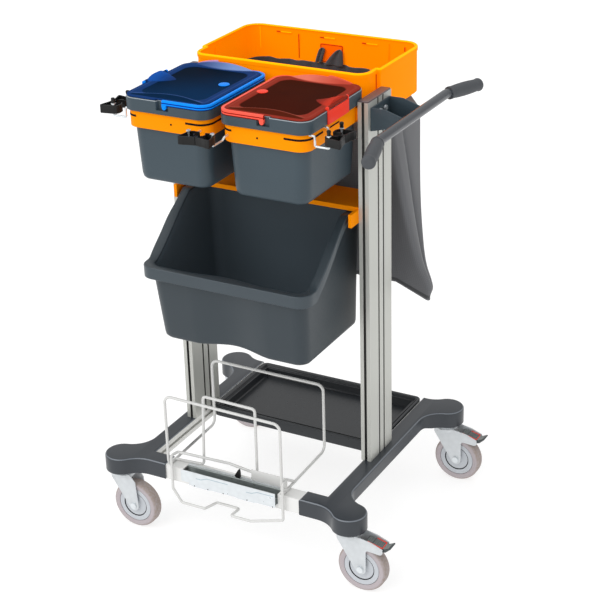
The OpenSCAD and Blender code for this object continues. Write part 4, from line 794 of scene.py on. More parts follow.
class CART_OT_castors(bpy.types.Operator):
    """Adds the four castors: pressed forks, hubs with a deep groove, rubber tyres and ridged brake
    pedals."""
    bl_idname = "cart.castors"
    bl_label = "Castors"

    def execute(self, context):
        for name, braked in (("fl", False), ("fr", True), ("rl", False), ("rr", True)):
            self.fork(name, leg_line(braked))
            self.wheel(name)
        for name, castor in (("front", "fr"), ("rear", "rr")):
            self.pedal(name, swivel_foot(castor))
        return {"FINISHED"}

    def fork(self, name, leg):
        """A crown turned about the swivel axis, grooved at the race, and two pressed legs."""
        home = swivel_foot(name)
        crown = turned((
            (9.0, 139.7), (28.0, 139.7), (30.0, 141.5), (30.0, 147.5), (28.5, 149.5), (26.2, 149.8),
            (26.2, 151.6), (25.0, 152.4), (25.0, 154.2), (26.0, 155.0), (26.0, 158.4), (25.0, 159.6),
            (9.0, 159.6)), 64)
        skin = Skin().ring(crown + home)
        rows = slab(lambda i: leg + unit(leg.mean(0) - leg) * i, 17.5, 20.5, 0.9, 2)
        for s in (-1, 1):
            skin.grid(np.stack((rows[..., 0], s * rows[..., 2], rows[..., 1]), -1) + home)
        piece("fork_press_" + name, skin, ["fork"], "castor_" + name, ["fork_" + name], 35)

    def wheel(self, name):
        """A tyre and a hub, each a profile of radius and width turned about the axle. The tyre's run map
        is 0 on the flanks and 1 on the running face."""
        axle = swivel_foot(name) + (TRAIL, 0.0, WHEEL_R)
        line = np.concatenate((
            [(46.2, -14.3)], arc((47.2, -13.2), 1.2, 200, 270, 4), arc((54.5, -8.0), 8.0, 270, 360, 10),
            arc((54.5, 8.0), 8.0, 0, 90, 10), arc((47.2, 13.2), 1.2, 90, 160, 4), [(46.2, 14.3)]))
        tyre = piece("tyre_rubber_" + name, Skin().ring(along_y(turned(line, 96)) + axle), ["tread"],
                     "wheel_" + name, ["tyre_" + name], 40)
        p = points_of(tyre) - axle
        run = smooth((np.hypot(p[:, 0], p[:, 2]) - 54.0) / 7.0)
        tyre.data.attributes.new("run", "FLOAT", "POINT").data.foreach_set("value", run)
        half = np.array((
            (5.2, 17.1), (12.5, 17.1), (13.4, 16.4), (14.4, 13.0), (15.6, 12.0), (30.6, 12.0), (31.0, 11.4),
            (31.2, 6.4), (33.0, 6.4), (33.2, 13.0), (33.9, 13.8), (44.0, 14.2), (45.4, 13.4), (45.9, 12.0)))
        line = np.concatenate((half, half[::-1] * (1, -1)))
        # The groove's faces take the near-black: painted shadow in the groove
        groove = np.zeros(len(line), int)
        groove[[6, 7, 8, -8, -9, -10]] = 1
        hub = Skin().ring(along_y(turned(line, 96)) + axle, mark=groove)
        piece("hub_moulding_" + name, hub, ("hub", "dark"), "wheel_" + name, ["hub_" + name], 30)

    def pedal(self, name, home):
        """A bent plate with a tip and six ridged lanes in a paler grey, a red trim along its edge, and its
        pin.
        """
        side = ((45, 127.5), (59, 128.0), (90, 121.0), (99, 123.5), (113, 136.5), (110, 138.5), (97, 131.5),
                (91, 131.5), (57, 140.6), (46, 140.6))
        worn = ((91, 130.0), (97, 130.4), (110, 137.6), (111.5, 138.9), (97, 132.2), (91.6, 132.2))
        ridge = np.array(((-0.9, -0.6), (0.9, -0.6), (0.5, 0.9), (-0.5, 0.9)))
        slope = lambda x: 142.2 - 0.27 * (x - 51)
        skin = Skin().grid(along_y(slab(lambda i: outline(side, 1.4, i, 3), -14.0, 14.0, 0.9)) + home)
        tip = outline(worn, 0.5, 0.0, 2)
        skin.grid(along_y(slab(lambda i: tip, -13.0, 13.0, 0.3)) + home, mark=3)
        for y in (-10.5, -6.3, -2.1, 2.1, 6.3, 10.5):
            for a, b in ((50.0, 63.0), (66.0, 90.0)):
                lane = np.linspace((a, y, slope(a)), (b, y, slope(b)), 6) + home
                skin.grid(sweep(lane, ridge), mark=3)
        trim = ((66.0, 13.2, 138.6), (90.5, 13.2, 132.2), (90.5, -13.2, 132.2), (52.0, -13.2, 141.6))
        skin.grid(sweep(rounded_path(trim, 1.0, 3) + home, ridge), mark=1)
        skin.grid(along_y(turned(((3.0, -20.4), (3.0, 20.4)), 24)) + home + (53, 0, 132.5), mark=2)
        piece("pedal_tread_" + name, skin, ("pedal", "red", "zinc", "spoon"), "pedal_" + name,
              ["brake_pedal_" + name])


# Containers

# Heights of the bin's front lip and of the foot of its outer and inner wall
LIP, FOOT_OUT, FOOT_IN = 735.0, 551.0, 555.0


def lip_share(y):
    """Share of the rise from the bin's front lip to its back rim: straight over the ramp, eased at both
    ends."""
    t = np.clip((y + 245.0) / 160.0, 0.0, 1.0)
    return t - 0.02 * np.sin(2 * math.pi * t)


class CART_OT_bin(bpy.types.Operator):
    """Adds the open bin: a lofted tub with a sloping banded rim, side lips flared on the ramp, a hollow
    in its front and a raised foot under it."""
    bl_idname = "cart.bin"
    bl_label = "Bin"

    def execute(self, context):
        sizes = context.scene.cart_sizes
        deep, rise, flare = sizes.scoop / MM, sizes.scoop_rise / MM, sizes.flare / MM
        (_, front, _), (half, back, rim) = box_mm("bin")
        rim_r = 34.0
        counts = splits(rect(half, (back - front) / 2, rim_r, 0.0, (0.0, (front + back) / 2)), 8.0)

        def ring(w, yf, yb, r, z, scoop=0.0, lift=0.0, wing=0.0):
            """Outline from half width, front, back and radius; a hollow of the given depth, a cosine with
            a faint crease at its ends, sits in the front, and wing flares and lifts the sides on the
            ramp."""
            p = denser(rect(w, (yb - yf) / 2, r, 0.0, (0.0, (yb + yf) / 2)), counts)
            q = np.clip(p[:, 0] / 98.0, -1, 1)
            t = 0.6 * (0.5 + 0.5 * np.cos(math.pi * q)) + 0.4 * np.cos(math.pi * q / 2)
            near = smooth((yf + 30.0 - p[:, 1]) / 30.0) * t
            spread = wing * smooth((p[:, 1] + 262.0) / 50.0) * smooth((-112.0 - p[:, 1]) / 50.0)
            height = (z(p[:, 1]) if callable(z) else z) + lift * near + 1.25 * spread
            return at(p + np.stack((spread * np.sign(p[:, 0]), scoop * near), -1), height)

        top = lambda y: LIP + (rim - LIP) * lip_share(y)
        low = lambda y: top(y) - 30.0 + 10.0 * lip_share(y)

        def band(d, drop, z=top, wing=1.0):
            """Outline of the rim's band drawn in by d, at a height of z plus drop."""
            return ring(half - d, front + d, back - d, rim_r - d, lambda y: z(y) + drop, wing=flare * wing)

        def wall(w, back, r, foot, head, t):
            """Outline of a wall at the share t of its height, where it is wider and its hollow
            shallower."""
            return ring(w + 8 * t, -w - 59 - 19 * t, back, r, lambda y: foot + t * (head(y) - foot),
                        deep * (1 - 0.35 * t))

        rows = [ring(*size, deep, rise) for size in (
            (184, -243, 12, 20, 537.0), (192, -251, 20, 27, 539.0), (196.5, -255.5, 23.5, 29, 544.0),
            (198, -257, 25, 30, FOOT_OUT))]
        rows += [wall(198, 25.0, 30.0, FOOT_OUT, low, t) for t in (0.25, 0.5, 0.75, 0.93, 0.98)]
        rows += [ring(206, -276, 25, 30, lambda y: low(y) - 0.5, deep * 0.55), band(17.6, 0.5, low, 0.1),
                 band(1.5, 0.0, low), band(0.3, 1.0, low)]
        rows += [band(i, -d) for i, d in soft_edge(2.4, 4)]
        rows += [ring(206, -276, 25, 30, lambda y: top(y) - 0.4, deep * 0.5),
                 ring(203, -273, 22, 27, lambda y: top(y) - 1.8, deep * 0.6),
                 ring(202, -272, 21, 26, lambda y: top(y) - 5.0, deep * 0.62)]
        # Under the lip, a thin strip of the wall and the lip's underside take the darker bin plastic as
        # painted shadow; the rim band takes the paler bin plastic as painted highlight; the inside takes the
        # paler inner grey as painted light
        marks = [0] * 8 + [3, 3] + [2] * (len(rows) - 14) + [0] * 3
        rows += [wall(194, 21.0, 26.0, FOOT_IN, top, t) for t in (0.9, 0.6, 0.3)]
        rows += [ring(*size, deep, rise) for size in (
            (194, -253, 21, 26, FOOT_IN), (190, -249, 17, 22, 546.0), (180, -239, 8, 16, 541.0))]
        marks += [1] * (len(rows) - 1 - len(marks))
        piece("bin_tub", Skin().grid(np.stack(rows), mark=marks), ("bin", "inner", "bin_rim", "bin_under"),
              "waste_bin", ["bin"], 40)
        return {"FINISHED"}


# Middle of the right bucket's plan, and the half sizes, height and corner radius of its rim
BUCKET = box_mm("right_bucket").mean(0) * (1, 1, 0)
BUCKET_HX, BUCKET_HY, _ = np.diff(box_mm("right_bucket"), axis=0)[0] / 2
BUCKET_RIM = box_mm("right_bucket")[1][2]
BUCKET_R = 30.0
# The lid's hinge, by x from the bucket's middle and by height, and the height of the bail's pins
HINGE_X, HINGE_Z, BAIL_Z = 112.0, 1153.0, 1134.0


def bucket_place(side):
    """Moves the right bucket's own shape to its place, mirrored for the left."""
    return (lambda p: p + BUCKET) if side == "right" else (lambda p: flip(p + BUCKET))


class CART_OT_buckets(bpy.types.Operator):
    """Adds the two buckets: tapered tubs with a stepped rim band, cut back where the bail lies."""
    bl_idname = "cart.buckets"
    bl_label = "Buckets"

    def execute(self, context):
        hx, hy, r = BUCKET_HX, BUCKET_HY, BUCKET_R
        counts = splits(rect(hx, hy, r), 3.0)

        def ring(hx, hy, r, z, cut=0.0, from_x=-9.5, to_x=19.0):
            """Rounded rectangle, drawn in by cut between two x values where the bail or its hook lies."""
            p = denser(rect(hx, hy, r), counts)
            q = denser(rect(hx, hy, r, cut), counts) if cut else p
            w = (smooth((p[:, 0] - from_x) / 0.6 + 0.5) * smooth((to_x - p[:, 0]) / 0.6 + 0.5))[:, None]
            return at(p * (1 - w) + q * w, z)

        cut, all_left, tall = 8.6, -400.0, 155
        rows = [ring(*size) for size in (
            (80, 109, 16, 947.0), (88, 116.5, 23, 948.4), (92.5, 121, 28, 953.0), (94.5, 123, r, 961.0))]
        rows += [ring(94.5 + 7 * t, 123 + 7 * t, r, 961 + tall * t) for t in (0.2, 0.4, 0.6, 0.8, 1.0)]
        rows += [ring(103, 131.5, r, 1116.6), ring(hx - 1.5, hy - 1.5, r, 1116.8),
                 ring(112.6, 141.1, r, 1117.4), ring(hx, hy, r, 1118.6), ring(hx, hy, r, 1126.6)]
        rows += [ring(hx, hy, r, z, cut) for z in (1127.0, 1138.3)]
        rows += [ring(hx - d, hy - d, r - d, z, cut, all_left)
                 for d, z in ((0, 1138.7), (0, 1146.4), (0.5, 1147.6), (1.5, BUCKET_RIM))]
        rows += [ring(98.6, 127.1, 27, BUCKET_RIM), ring(98, 126.5, 26.5, 1146.8)]
        marks = [0] * (len(rows) - 1)
        # The rim's rounded top edge takes the pale grey: a painted highlight
        marks[-4:-2] = [2, 2]
        rows += [ring(98 - 7 * t, 126.5 - 7 * t, 26.5, 1146.8 - 184 * t) for t in (0.5, 1.0)]
        rows.append(ring(79, 107.5, 14, 950.5))
        # The inside takes the paler inner grey: painted light that lifts the shade
        marks += [1] * (len(rows) - 1 - len(marks))
        for side in ("right", "left"):
            piece(side + "_tub", Skin().grid(np.stack(rows), mark=marks), ("grey", "inner", "grey_rim"),
                  side + "_bucket_body", [side + "_bucket"], 40, bucket_place(side))
        return {"FINISHED"}


class CART_OT_bails(bpy.types.Operator):
    """Adds the bails: half a rounded rectangle with two ridges outside, and drop-shaped hooks with
    pins."""
    bl_idname = "cart.bails"
    bl_label = "Bails"

    def execute(self, context):
        h = context.scene.cart_sizes.ridge / MM
        hy, level = 137.25, 1145.0
        bow = rect(108.75, hy, 26.25, steps=10)
        bow = bow[bow[:, 0] < 0]
        bow = bow[np.argsort(np.arctan2(bow[:, 1] * 0.8, bow[:, 0]) % (2 * math.pi))]
        path = at(np.concatenate(([(5.0, hy)], bow, [(5.0, -hy)])), level)
        out = 3.75
        edge = np.array((
            (out - h, -6.0), (out - h, -5.0), (out, -4.0), (out, -1.4), (out - h, -0.5), (out - h, 0.6),
            (out, 1.4), (out, 4.4), (out - 0.5, 5.4), (out - 1.4, 6.0), (-2.6, 6.0), (-3.5, 5.2),
            (-3.7, 4.0), (-3.7, -6.0)))
        # The recessed faces beside and between the ridges take the darker colour: painted shade
        hollow = np.isin(np.arange(len(edge)), (0, 1, 3, 4, 5)).astype(int)
        skin = Skin().grid(sweep(path, edge), mark=np.broadcast_to(hollow, (len(path) - 1, len(edge))))
        drop = np.concatenate((
            [(-6.0, 1141.0), (-5.2, BAIL_Z)], arc((0.0, BAIL_Z), 5.0, 180, 360, 12), [(6.0, 1141.0)]))
        pin = along_y(turned(((0.3, 0.0), (2.0, 0.0), (2.6, 0.6), (2.6, 14.5), (0.3, 14.5)), 20))
        for s in (-1, 1):
            hook = np.stack([at(drop, s * y) for y in (133.6, 140.6)])
            skin.grid(hook[..., (0, 2, 1)])
            skin.grid(pin * (1, s, 1) + (0, s * 141.2, BAIL_Z))
        for side, name in (("right", "red"), ("left", "blue")):
            piece(side + "_bail_bow", skin, (name + "_bail", name + "_deep"), side + "_bail_body",
                  [side + "_bail"], 35, bucket_place(side))
        return {"FINISHED"}


# The lids' colours hold painted light and shade: panel and front give the dark inside of the bucket seen
# through the sheet as painted shade, arch is a painted highlight, and lens, thin and crest are painted light
# through the standing lens with a painted highlight on its crest
LID_TINTS = {
    "blue": dict(border="#1e3f78", panel="#0b1a2c", front="#0a3056", zone="#03284a", arch="#4a6cb0",
                 lens="#415990", thin="#8aa6e0", crest="#c8a2d4", tip="#233d75", tongue="#1f5fc0"),
    "red": dict(border="#9c382b", panel="#421a10", front="#46160a", zone="#5c1f0e", arch="#b85a4a",
                lens="#d0503f", thin="#f5806a", crest="#f96a50", tip="#8f322a", tongue="#d8402f")}
# Share of the tints that the sheet takes, because the stage's even light makes them paler
TINT_SHARE = 0.8


def inside(p, hx, hy, r):
    """Distance in from a rounded rectangle's edge, positive inside: the radius less the distance from its
    inner core."""
    q = np.abs(p) - (hx - r, hy - r)
    return r - np.linalg.norm(np.maximum(q, 0.0), axis=-1) - np.minimum(q.max(-1), 0.0)


def lid_shares(p):
    """Shares of a lid's features at points of its plan. Panel: inside a rounded rectangle and behind the
    arch, whose line is a cosine bow. Lens: between a cosine bow drawn forward and the rear edge. Tongue:
    a leaf that narrows inwards. A share goes over from 0 to 1 in a smooth step a few millimetres wide."""
    x, y = p[..., 0], p[..., 1]
    edge = inside(p - (3.9, 0.0), 107.5, 136.0, 28.0)
    off = x - 2.9
    front = -122.0 + 25.0 * np.cos(np.clip(off / 100.0, -1, 1) * math.pi / 2) ** 1.3
    behind = smooth((y - front) / 3.0 + 0.5)
    panel = smooth(inside(p - (2.9, 0.0), 84.5, 111.0, 26.0) / 3.0 + 0.5) * behind
    zone = (1 - behind) * smooth((y + 130.5) / 3.0 + 0.5) * smooth((92.0 - np.abs(off)) / 6.0 + 0.5)
    arch = np.exp(-((y - front) / 1.9) ** 2) * smooth((96.0 - np.abs(off)) / 8.0)
    bow = np.cos(np.clip((x - 2.5) / 79.0, -1, 1) * math.pi / 2)
    foot = 133.0 - 21.0 * bow ** 0.8
    up = np.clip((y - foot) / np.maximum(136.5 - foot, 2.0), 0.0, 1.0) * (bow > 0.02)
    v = np.clip((110.5 - x) / 52.0, -0.05, 1.0)
    w = np.abs(y - 4.0 * v) / (42.0 * np.maximum(1 - v, 0.0) ** 0.72 + 0.01)
    return dict(panel=panel, zone=zone, arch=arch, line=np.exp(-((edge - 9.0) / 1.6) ** 2),
                lens=smooth(up / 0.2), lens_rise=bow ** 0.8 * up ** 1.4, up=up,
                across=smooth((60.0 - x) / 120.0 + 0.1), tongue=smooth((1 - w) / 0.12) * (v < 0.999),
                inward=v, dome=np.clip(1 - v, 0, 1) ** 1.3 * np.clip(1 - w ** 3, 0, 1))


def lid_tint(p, codes):
    """Colour of a lid at points of its plan: border, panel, front zone, arch, lens and tongue laid over
    one another. The panel's dark colours are painted shade of the bucket seen through the sheet, the lines
    in the border and along the arch are painted highlights, and the pale lens with its bright crest is
    painted light through the standing sheet with a painted highlight."""
    c = {key: np.array(lin(code)[:3]) * TINT_SHARE for key, code in codes.items()}
    s = lid_shares(p)
    plain = lambda key: np.broadcast_to(c[key], p.shape[:-1] + (3,))
    over = lambda base, top, share: base + (top - base) * share[..., None]
    # The line inside the border is a painted highlight in the arch's colour
    t = over(plain("border"), c["arch"], 0.35 * s["line"])
    # The panel is painted paler towards the front and the inner side: painted shade of the bucket seen
    # through the sheet. The arch line laid on next is a painted highlight
    panel = over(plain("panel"), c["front"], smooth(0.5 - p[..., 1] / 260.0 - p[..., 0] / 400.0))
    t = over(over(over(t, panel, s["panel"]), c["zone"], s["zone"]), c["arch"], s["arch"])
    # The lens is painted paler across its inner part, with a painted highlight along its crest: painted light
    # through the standing sheet
    lens = over(over(plain("lens"), c["thin"], s["across"]), c["crest"], smooth(s["up"] * 5 - 3.8))
    tongue = over(plain("tongue"), c["tip"], smooth(s["inward"]))
    return over(over(t, lens, s["lens"]), tongue, 0.9 * s["tongue"])


class CART_OT_lids(bpy.types.Operator):
    """Adds the lids: a tinted sheet with a wide border, a dark panel painted as the shade of the bucket
    below, an arch across the front with a painted highlight, a bowed lens along the rear painted pale with a
    painted highlight on its crest, and a domed tongue by the clip, with the clips and the discs."""
    bl_idname = "cart.lids"
    bl_label = "Lids"

    def execute(self, context):
        x0, x1, near, far = -103.6, 111.4, 133.8, 139.2
        corners = ((x0, -near), (20, -near), (26, -far), (x1, -far),
                   (x1, far), (26, far), (20, near), (x0, near))
        radii = np.array((26, 3, 3, 29, 29, 3, 3, 26), float)
        middle = np.array((3.9, 0.0))
        counts = splits(outline(corners, radii, 0.0, 8), 3.0)
        line = lambda i: denser(outline(corners, radii, i, 8), counts)
        under = BUCKET_RIM + 0.6
        rows = [(line(14.0), under), (line(1.2), 1148.4), (line(0.0), 1149.4), (line(0.0), 1150.8),
                (line(0.7), 1151.7)]
        flat = line(1.6)
        rows += [(middle + (flat - middle) * s, 1152.0) for s in 1 - np.linspace(0.0, 1.0, 56) ** 1.15]
        plan = np.stack([p for p, z in rows])
        high = np.array([z for p, z in rows])[:, None]
        share = lid_shares(plan)
        rise = (14.5 * share["lens_rise"] + 11.5 * share["dome"] - 1.0 * share["panel"] + 0.7 * share["arch"]
                + 0.4 * share["line"])
        top = np.where(high > 1150.0, rise, 0.0) + high
        shell = np.concatenate((plan, top[..., None]), -1)
        for side, name, disc in (("right", "red", (-80.0, 7.0)), ("left", "blue", (-63.0, 17.0))):
            self.sheet(side, name, shell, under)
            self.disc(side, name, disc)
            self.clip(side, name)
        return {"FINISHED"}

    def sheet(self, side, name, shell, under):
        """The tinted sheet, the skirt inside the bucket's mouth and the hinge's barrel, with the sheet's
        colour and its painted light and shade as a map on the points."""
        skin = Skin().grid(shell, caps=(True, False))
        skirt = ((0, under), (0, 1139.0), (2.5, 1139.0), (2.5, under))
        skin.ring(np.stack([at(rect(95.5, 124, 22, i), z) for i, z in skirt]))
        barrel = turned(((2.2, -44.6), (4.0, -44.6), (4.0, 44.6), (2.2, 44.6)), 24)
        skin.ring(along_y(barrel) + (HINGE_X, 0, HINGE_Z))
        lid = piece(side + "_lid_tinted", skin, [name + "_lid"], side + "_lid_body", [side + "_lid"],
                    40, bucket_place(side))
        p = points_of(lid)[:, :2] * (1 if side == "right" else -1, 1) - BUCKET[:2]
        tint = np.concatenate((lid_tint(p, LID_TINTS[name]), np.ones((len(p), 1))), -1)
        lid.data.attributes.new("tint", "FLOAT_COLOR", "POINT").data.foreach_set("color", tint.ravel())

    def disc(self, side, name, spot):
        """The round disc set in the lid: a low dome turned about its middle."""
        knob = turned(((0.4, 1150.0), (13.0, 1150.0), (13.0, 1152.0), (12.2, 1152.6), (7.0, 1153.2),
                       (0.4, 1153.4)), 48)
        piece(side + "_lid_knob", Skin().grid(knob + (*spot, 0.0)), [name], side + "_lid_body",
              [side + "_lid_disc"], 30, bucket_place(side))

    def clip(self, side, name):
        """The plate on the bucket's rim with two ears and the pin that the lid turns on."""
        skin = Skin().block((112.8, -50, 1117), (116.2, 50, 1147.9), 1.2)
        eye = along_y(turned(((0.3, -2.5), (3.6, -2.5), (4.0, -2.0), (4.0, 2.0), (3.6, 2.5), (0.3, 2.5)), 24))
        for y in (-47.5, 47.5):
            skin.block((112.8, y - 2.5, 1146), (116, y + 2.5, HINGE_Z), 0.8)
            skin.grid(eye + (HINGE_X, y, HINGE_Z))
        skin.grid(along_y(turned(((2.0, -46), (2.0, 46)), 16)) + (HINGE_X, 0, HINGE_Z))
        piece(side + "_clip_plate", skin, [name], side + "_bucket_body", [side + "_lid_clip"],
              35, bucket_place(side))


class CART_OT_rings(bpy.types.Operator):
    """Adds the orange carrying rings with their lugs, hangers and slots, the slots and a hole drawn in
    near-black as painted shadow.
    """
    bl_idname = "cart.rings"
    bl_label = "Bucket rings"

    def execute(self, context):
        hx, hy, r, low, high = 108.0, 136.5, 30.0, 1077.0, 1116.6
        line = lambda i: rect(hx, hy, r, i)
        rows = [at(line(i), low + d) for i, d in reversed(soft_edge(1.4, 3))]
        rows += [at(line(i), high - d) for i, d in soft_edge(1.4, 3)]
        rows += [at(line(i), z) for i, z in ((3.2, high), (4.0, high - 0.8), (4.0, low + 0.8), (3.2, low))]
        plain = Skin().ring(np.stack(rows))
        plain.block((104.2, 98.0, 1081), (115.5, 128.5, 1111), 1.0)
        plain.block((-40, 133.0, 1023), (40, 136.8, 1111), 1.0)
        plain.block((-40, 133.0, 1023), (40, 154.0, 1051), 1.0)
        # The dark strip and the disc are painted shadow in a slot and a hole
        plain.block((107.6, -30, 1102.2), (108.5, 16, 1106.0), 0.4, mark=1)
        plain.grid(along_y(turned(((2.4, 136.0), (2.4, 137.0)), 20)) + (-14, 0, 1096.0), mark=1)
        flat = np.array(((-0.4, -2.2), (0.6, -2.2), (0.6, 2.2), (-0.4, 2.2)))
        # The slots round the front corners are the same way round on both rings, so k undoes the left
        # one's mirror
        for side, k in (("right", 1), ("left", -1)):
            skin = plain.copy()
            for x, way, y in ((52.0, k, -62.0), (80.0, -k, -110.0)):
                slot = ((way * x, -hy - 0.1), (way * (hx + 0.1), -hy - 0.1), (way * (hx + 0.1), y))
                # Each slot is a near-black strip: painted shadow
                skin.grid(sweep(at(rounded_path(slot, r, 10), 1104.5), flat * (way, 1)), mark=1)
            piece(side + "_ring_band", skin, ("orange_low", "dark"), "cart_frame", [side + "_bucket_ring"],
                  35, bucket_place(side))
        return {"FINISHED"}


class CART_OT_top_tray(bpy.types.Operator):
    """Adds the orange top tray: a deep moulding with a rolled rim in painted highlight, a tongue between the
    posts, a sunk window in painted shade, and wall lines and slot marks in painted shadow and highlight."""
    bl_idname = "cart.top_tray"
    bl_label = "Top tray"

    def execute(self, context):
        z0, z1 = box_mm("top_tray")[:, 2]
        corners = ((-228, 2), (228, 2), (228, 62), (238, 62), (238, 296), (-238, 296), (-238, 62), (-228, 62))
        radii = np.array((30, 30, 3, 3, 42, 42, 3, 3), float)
        line = lambda i: outline(corners, radii, i, 8)
        rows = [at(line(18), z0 + 0.2), at(line(1), z0), at(line(0), z0 + 1), at(line(0.0), z1 - 12.6),
                at(line(-1.6), z1 - 12)]
        rows += [at(line(i - 2), z1 - d) for i, d in soft_edge(4.0, 5)]
        rows += [at(line(6 - d), z1 - i) for i, d in reversed(soft_edge(3.0, 4))]
        rows += [at(line(6.4), z0 + 10), at(line(7.5), z0 + 5), at(line(9.0), z0 + 4), at(line(18), z0 + 4)]
        # The rolled rim takes the yellower orange: a painted highlight
        rim = np.isin(np.arange(len(rows)), np.arange(5, len(rows) - 6)) * 3
        skin = Skin().ring(np.stack(rows), mark=rim)
        ledge = lambda i: outline(((-214, 18), (214, 18), (214, 80), (-214, 80)), 12, i, 6)
        skin.grid(np.stack([at(ledge(i), z) for i, z in ((0, z0), (0, z0 + 3.4), (0.6, z0 + 4))]))
        # Lines and slots on the back wall, and lines on the side walls: strips in the dark red orange are
        # painted shadow, strips in the yellower orange painted highlight
        wall, deep = 290.0, 291.0
        for x, low, high, mark in ((-208.0, z0 + 8, z1 - 8, 3), (-98.0, 1094.0, 1156.0, 2),
                                   (150.0, z0 + 8, z1 - 12, 0)):
            skin.block((x - 0.8, wall - 1.2, low), (x + 0.8, deep, high), 0.4, mark=mark)
        for x, z in ((-141.0, 1155.0), (-18.0, 1153.0), (98.0, 1151.0)):
            for left, right, mark in ((-20, -8, 2), (-8, 22, 3)):
                skin.block((x + left, wall - 0.9, z), (x + right, deep, z + 2.6), 0.4, mark=mark)
        skin.block((192.0, wall - 0.9, 1144.0), (194.4, deep, 1155.0), 0.4, mark=2)
        for s in (-1, 1):
            skin.block((s * 231.0 - 1.2, 110, z0 + 8), (s * 231.0 + 1.2, 111.6, z1 - 16), 0.5)
            skin.block((s * 228.3 - 0.6, 57.5, z0 + 8), (s * 228.3 + 0.6, 61.5, z1 - 14), 0.4, mark=2)
        window = lambda i: outline(((-37, 1093), (25, 1093), (25, 1139), (-37, 1139)), 3.0, i, 4)
        on_wall = lambda turns: np.stack([at(window(i), y) for i, y in turns])[..., (0, 2, 1)]
        # The window's edge takes the dark red orange as painted shadow, and its floor the darker orange as
        # painted shade
        skin.ring(on_wall(((0, 290.6), (0, 288.9), (2.2, 288.9), (2.2, 290.4))), mark=2)
        skin.grid(on_wall(((1.4, 290.8), (1.4, 289.6))), mark=1)
        piece("tray_moulding", skin, ("orange", "orange_deep", "orange_edge", "orange_light"), "cart_frame",
              ["top_tray"], 35)
        return {"FINISHED"}


def run_length(p, axis):
    """Length along a grid's rows or columns up to each point, in metres: the sum of the steps before
    it."""
    steps = np.cumsum(np.linalg.norm(np.diff(p, axis=axis), axis=-1), axis)
    return np.concatenate((np.zeros_like(np.take(steps, [0], axis)), steps), axis) * MM


def thread_map(obj, p):
    """Lays a cloth's threads on it: u is the length along each row and v the length down each column, in
    metres. On the faces that close a row the first column takes the row's whole length. A Solidify gives
    the cloth its thickness."""
    mesh, cols = obj.data, p.shape[1]
    across, down = run_length(p, 1), run_length(p, 0)
    corner = np.zeros(len(mesh.loops), int)
    mesh.loops.foreach_get("vertex_index", corner)
    first, many = np.zeros(len(mesh.polygons), int), np.zeros(len(mesh.polygons), int)
    mesh.polygons.foreach_get("loop_start", first)
    mesh.polygons.foreach_get("loop_total", many)
    owner = np.repeat(np.arange(len(first)), many)
    u, col = across.ravel()[corner], corner % cols
    high = np.zeros(len(first))
    np.maximum.at(high, owner, u)
    last = across[:, -1].mean()
    u = np.where((col == 0) & (high[owner] > last * 0.5), last, u)
    mesh.uv_layers.new(name="threads").data.foreach_set("uv", np.stack((u, down.ravel()[corner]), -1).ravel())
    wall = obj.modifiers.new("cloth_thickness", "SOLIDIFY")
    wall.thickness, wall.offset = 1.6 * MM, 0.0


# Middle of the bag's depth, the sack's half sizes at its mouth and the height of the mouth
BAG_Y, MOUTH_HX, MOUTH_HY, MOUTH_Z = 179.0, 217.0, 97.0, 1056.0


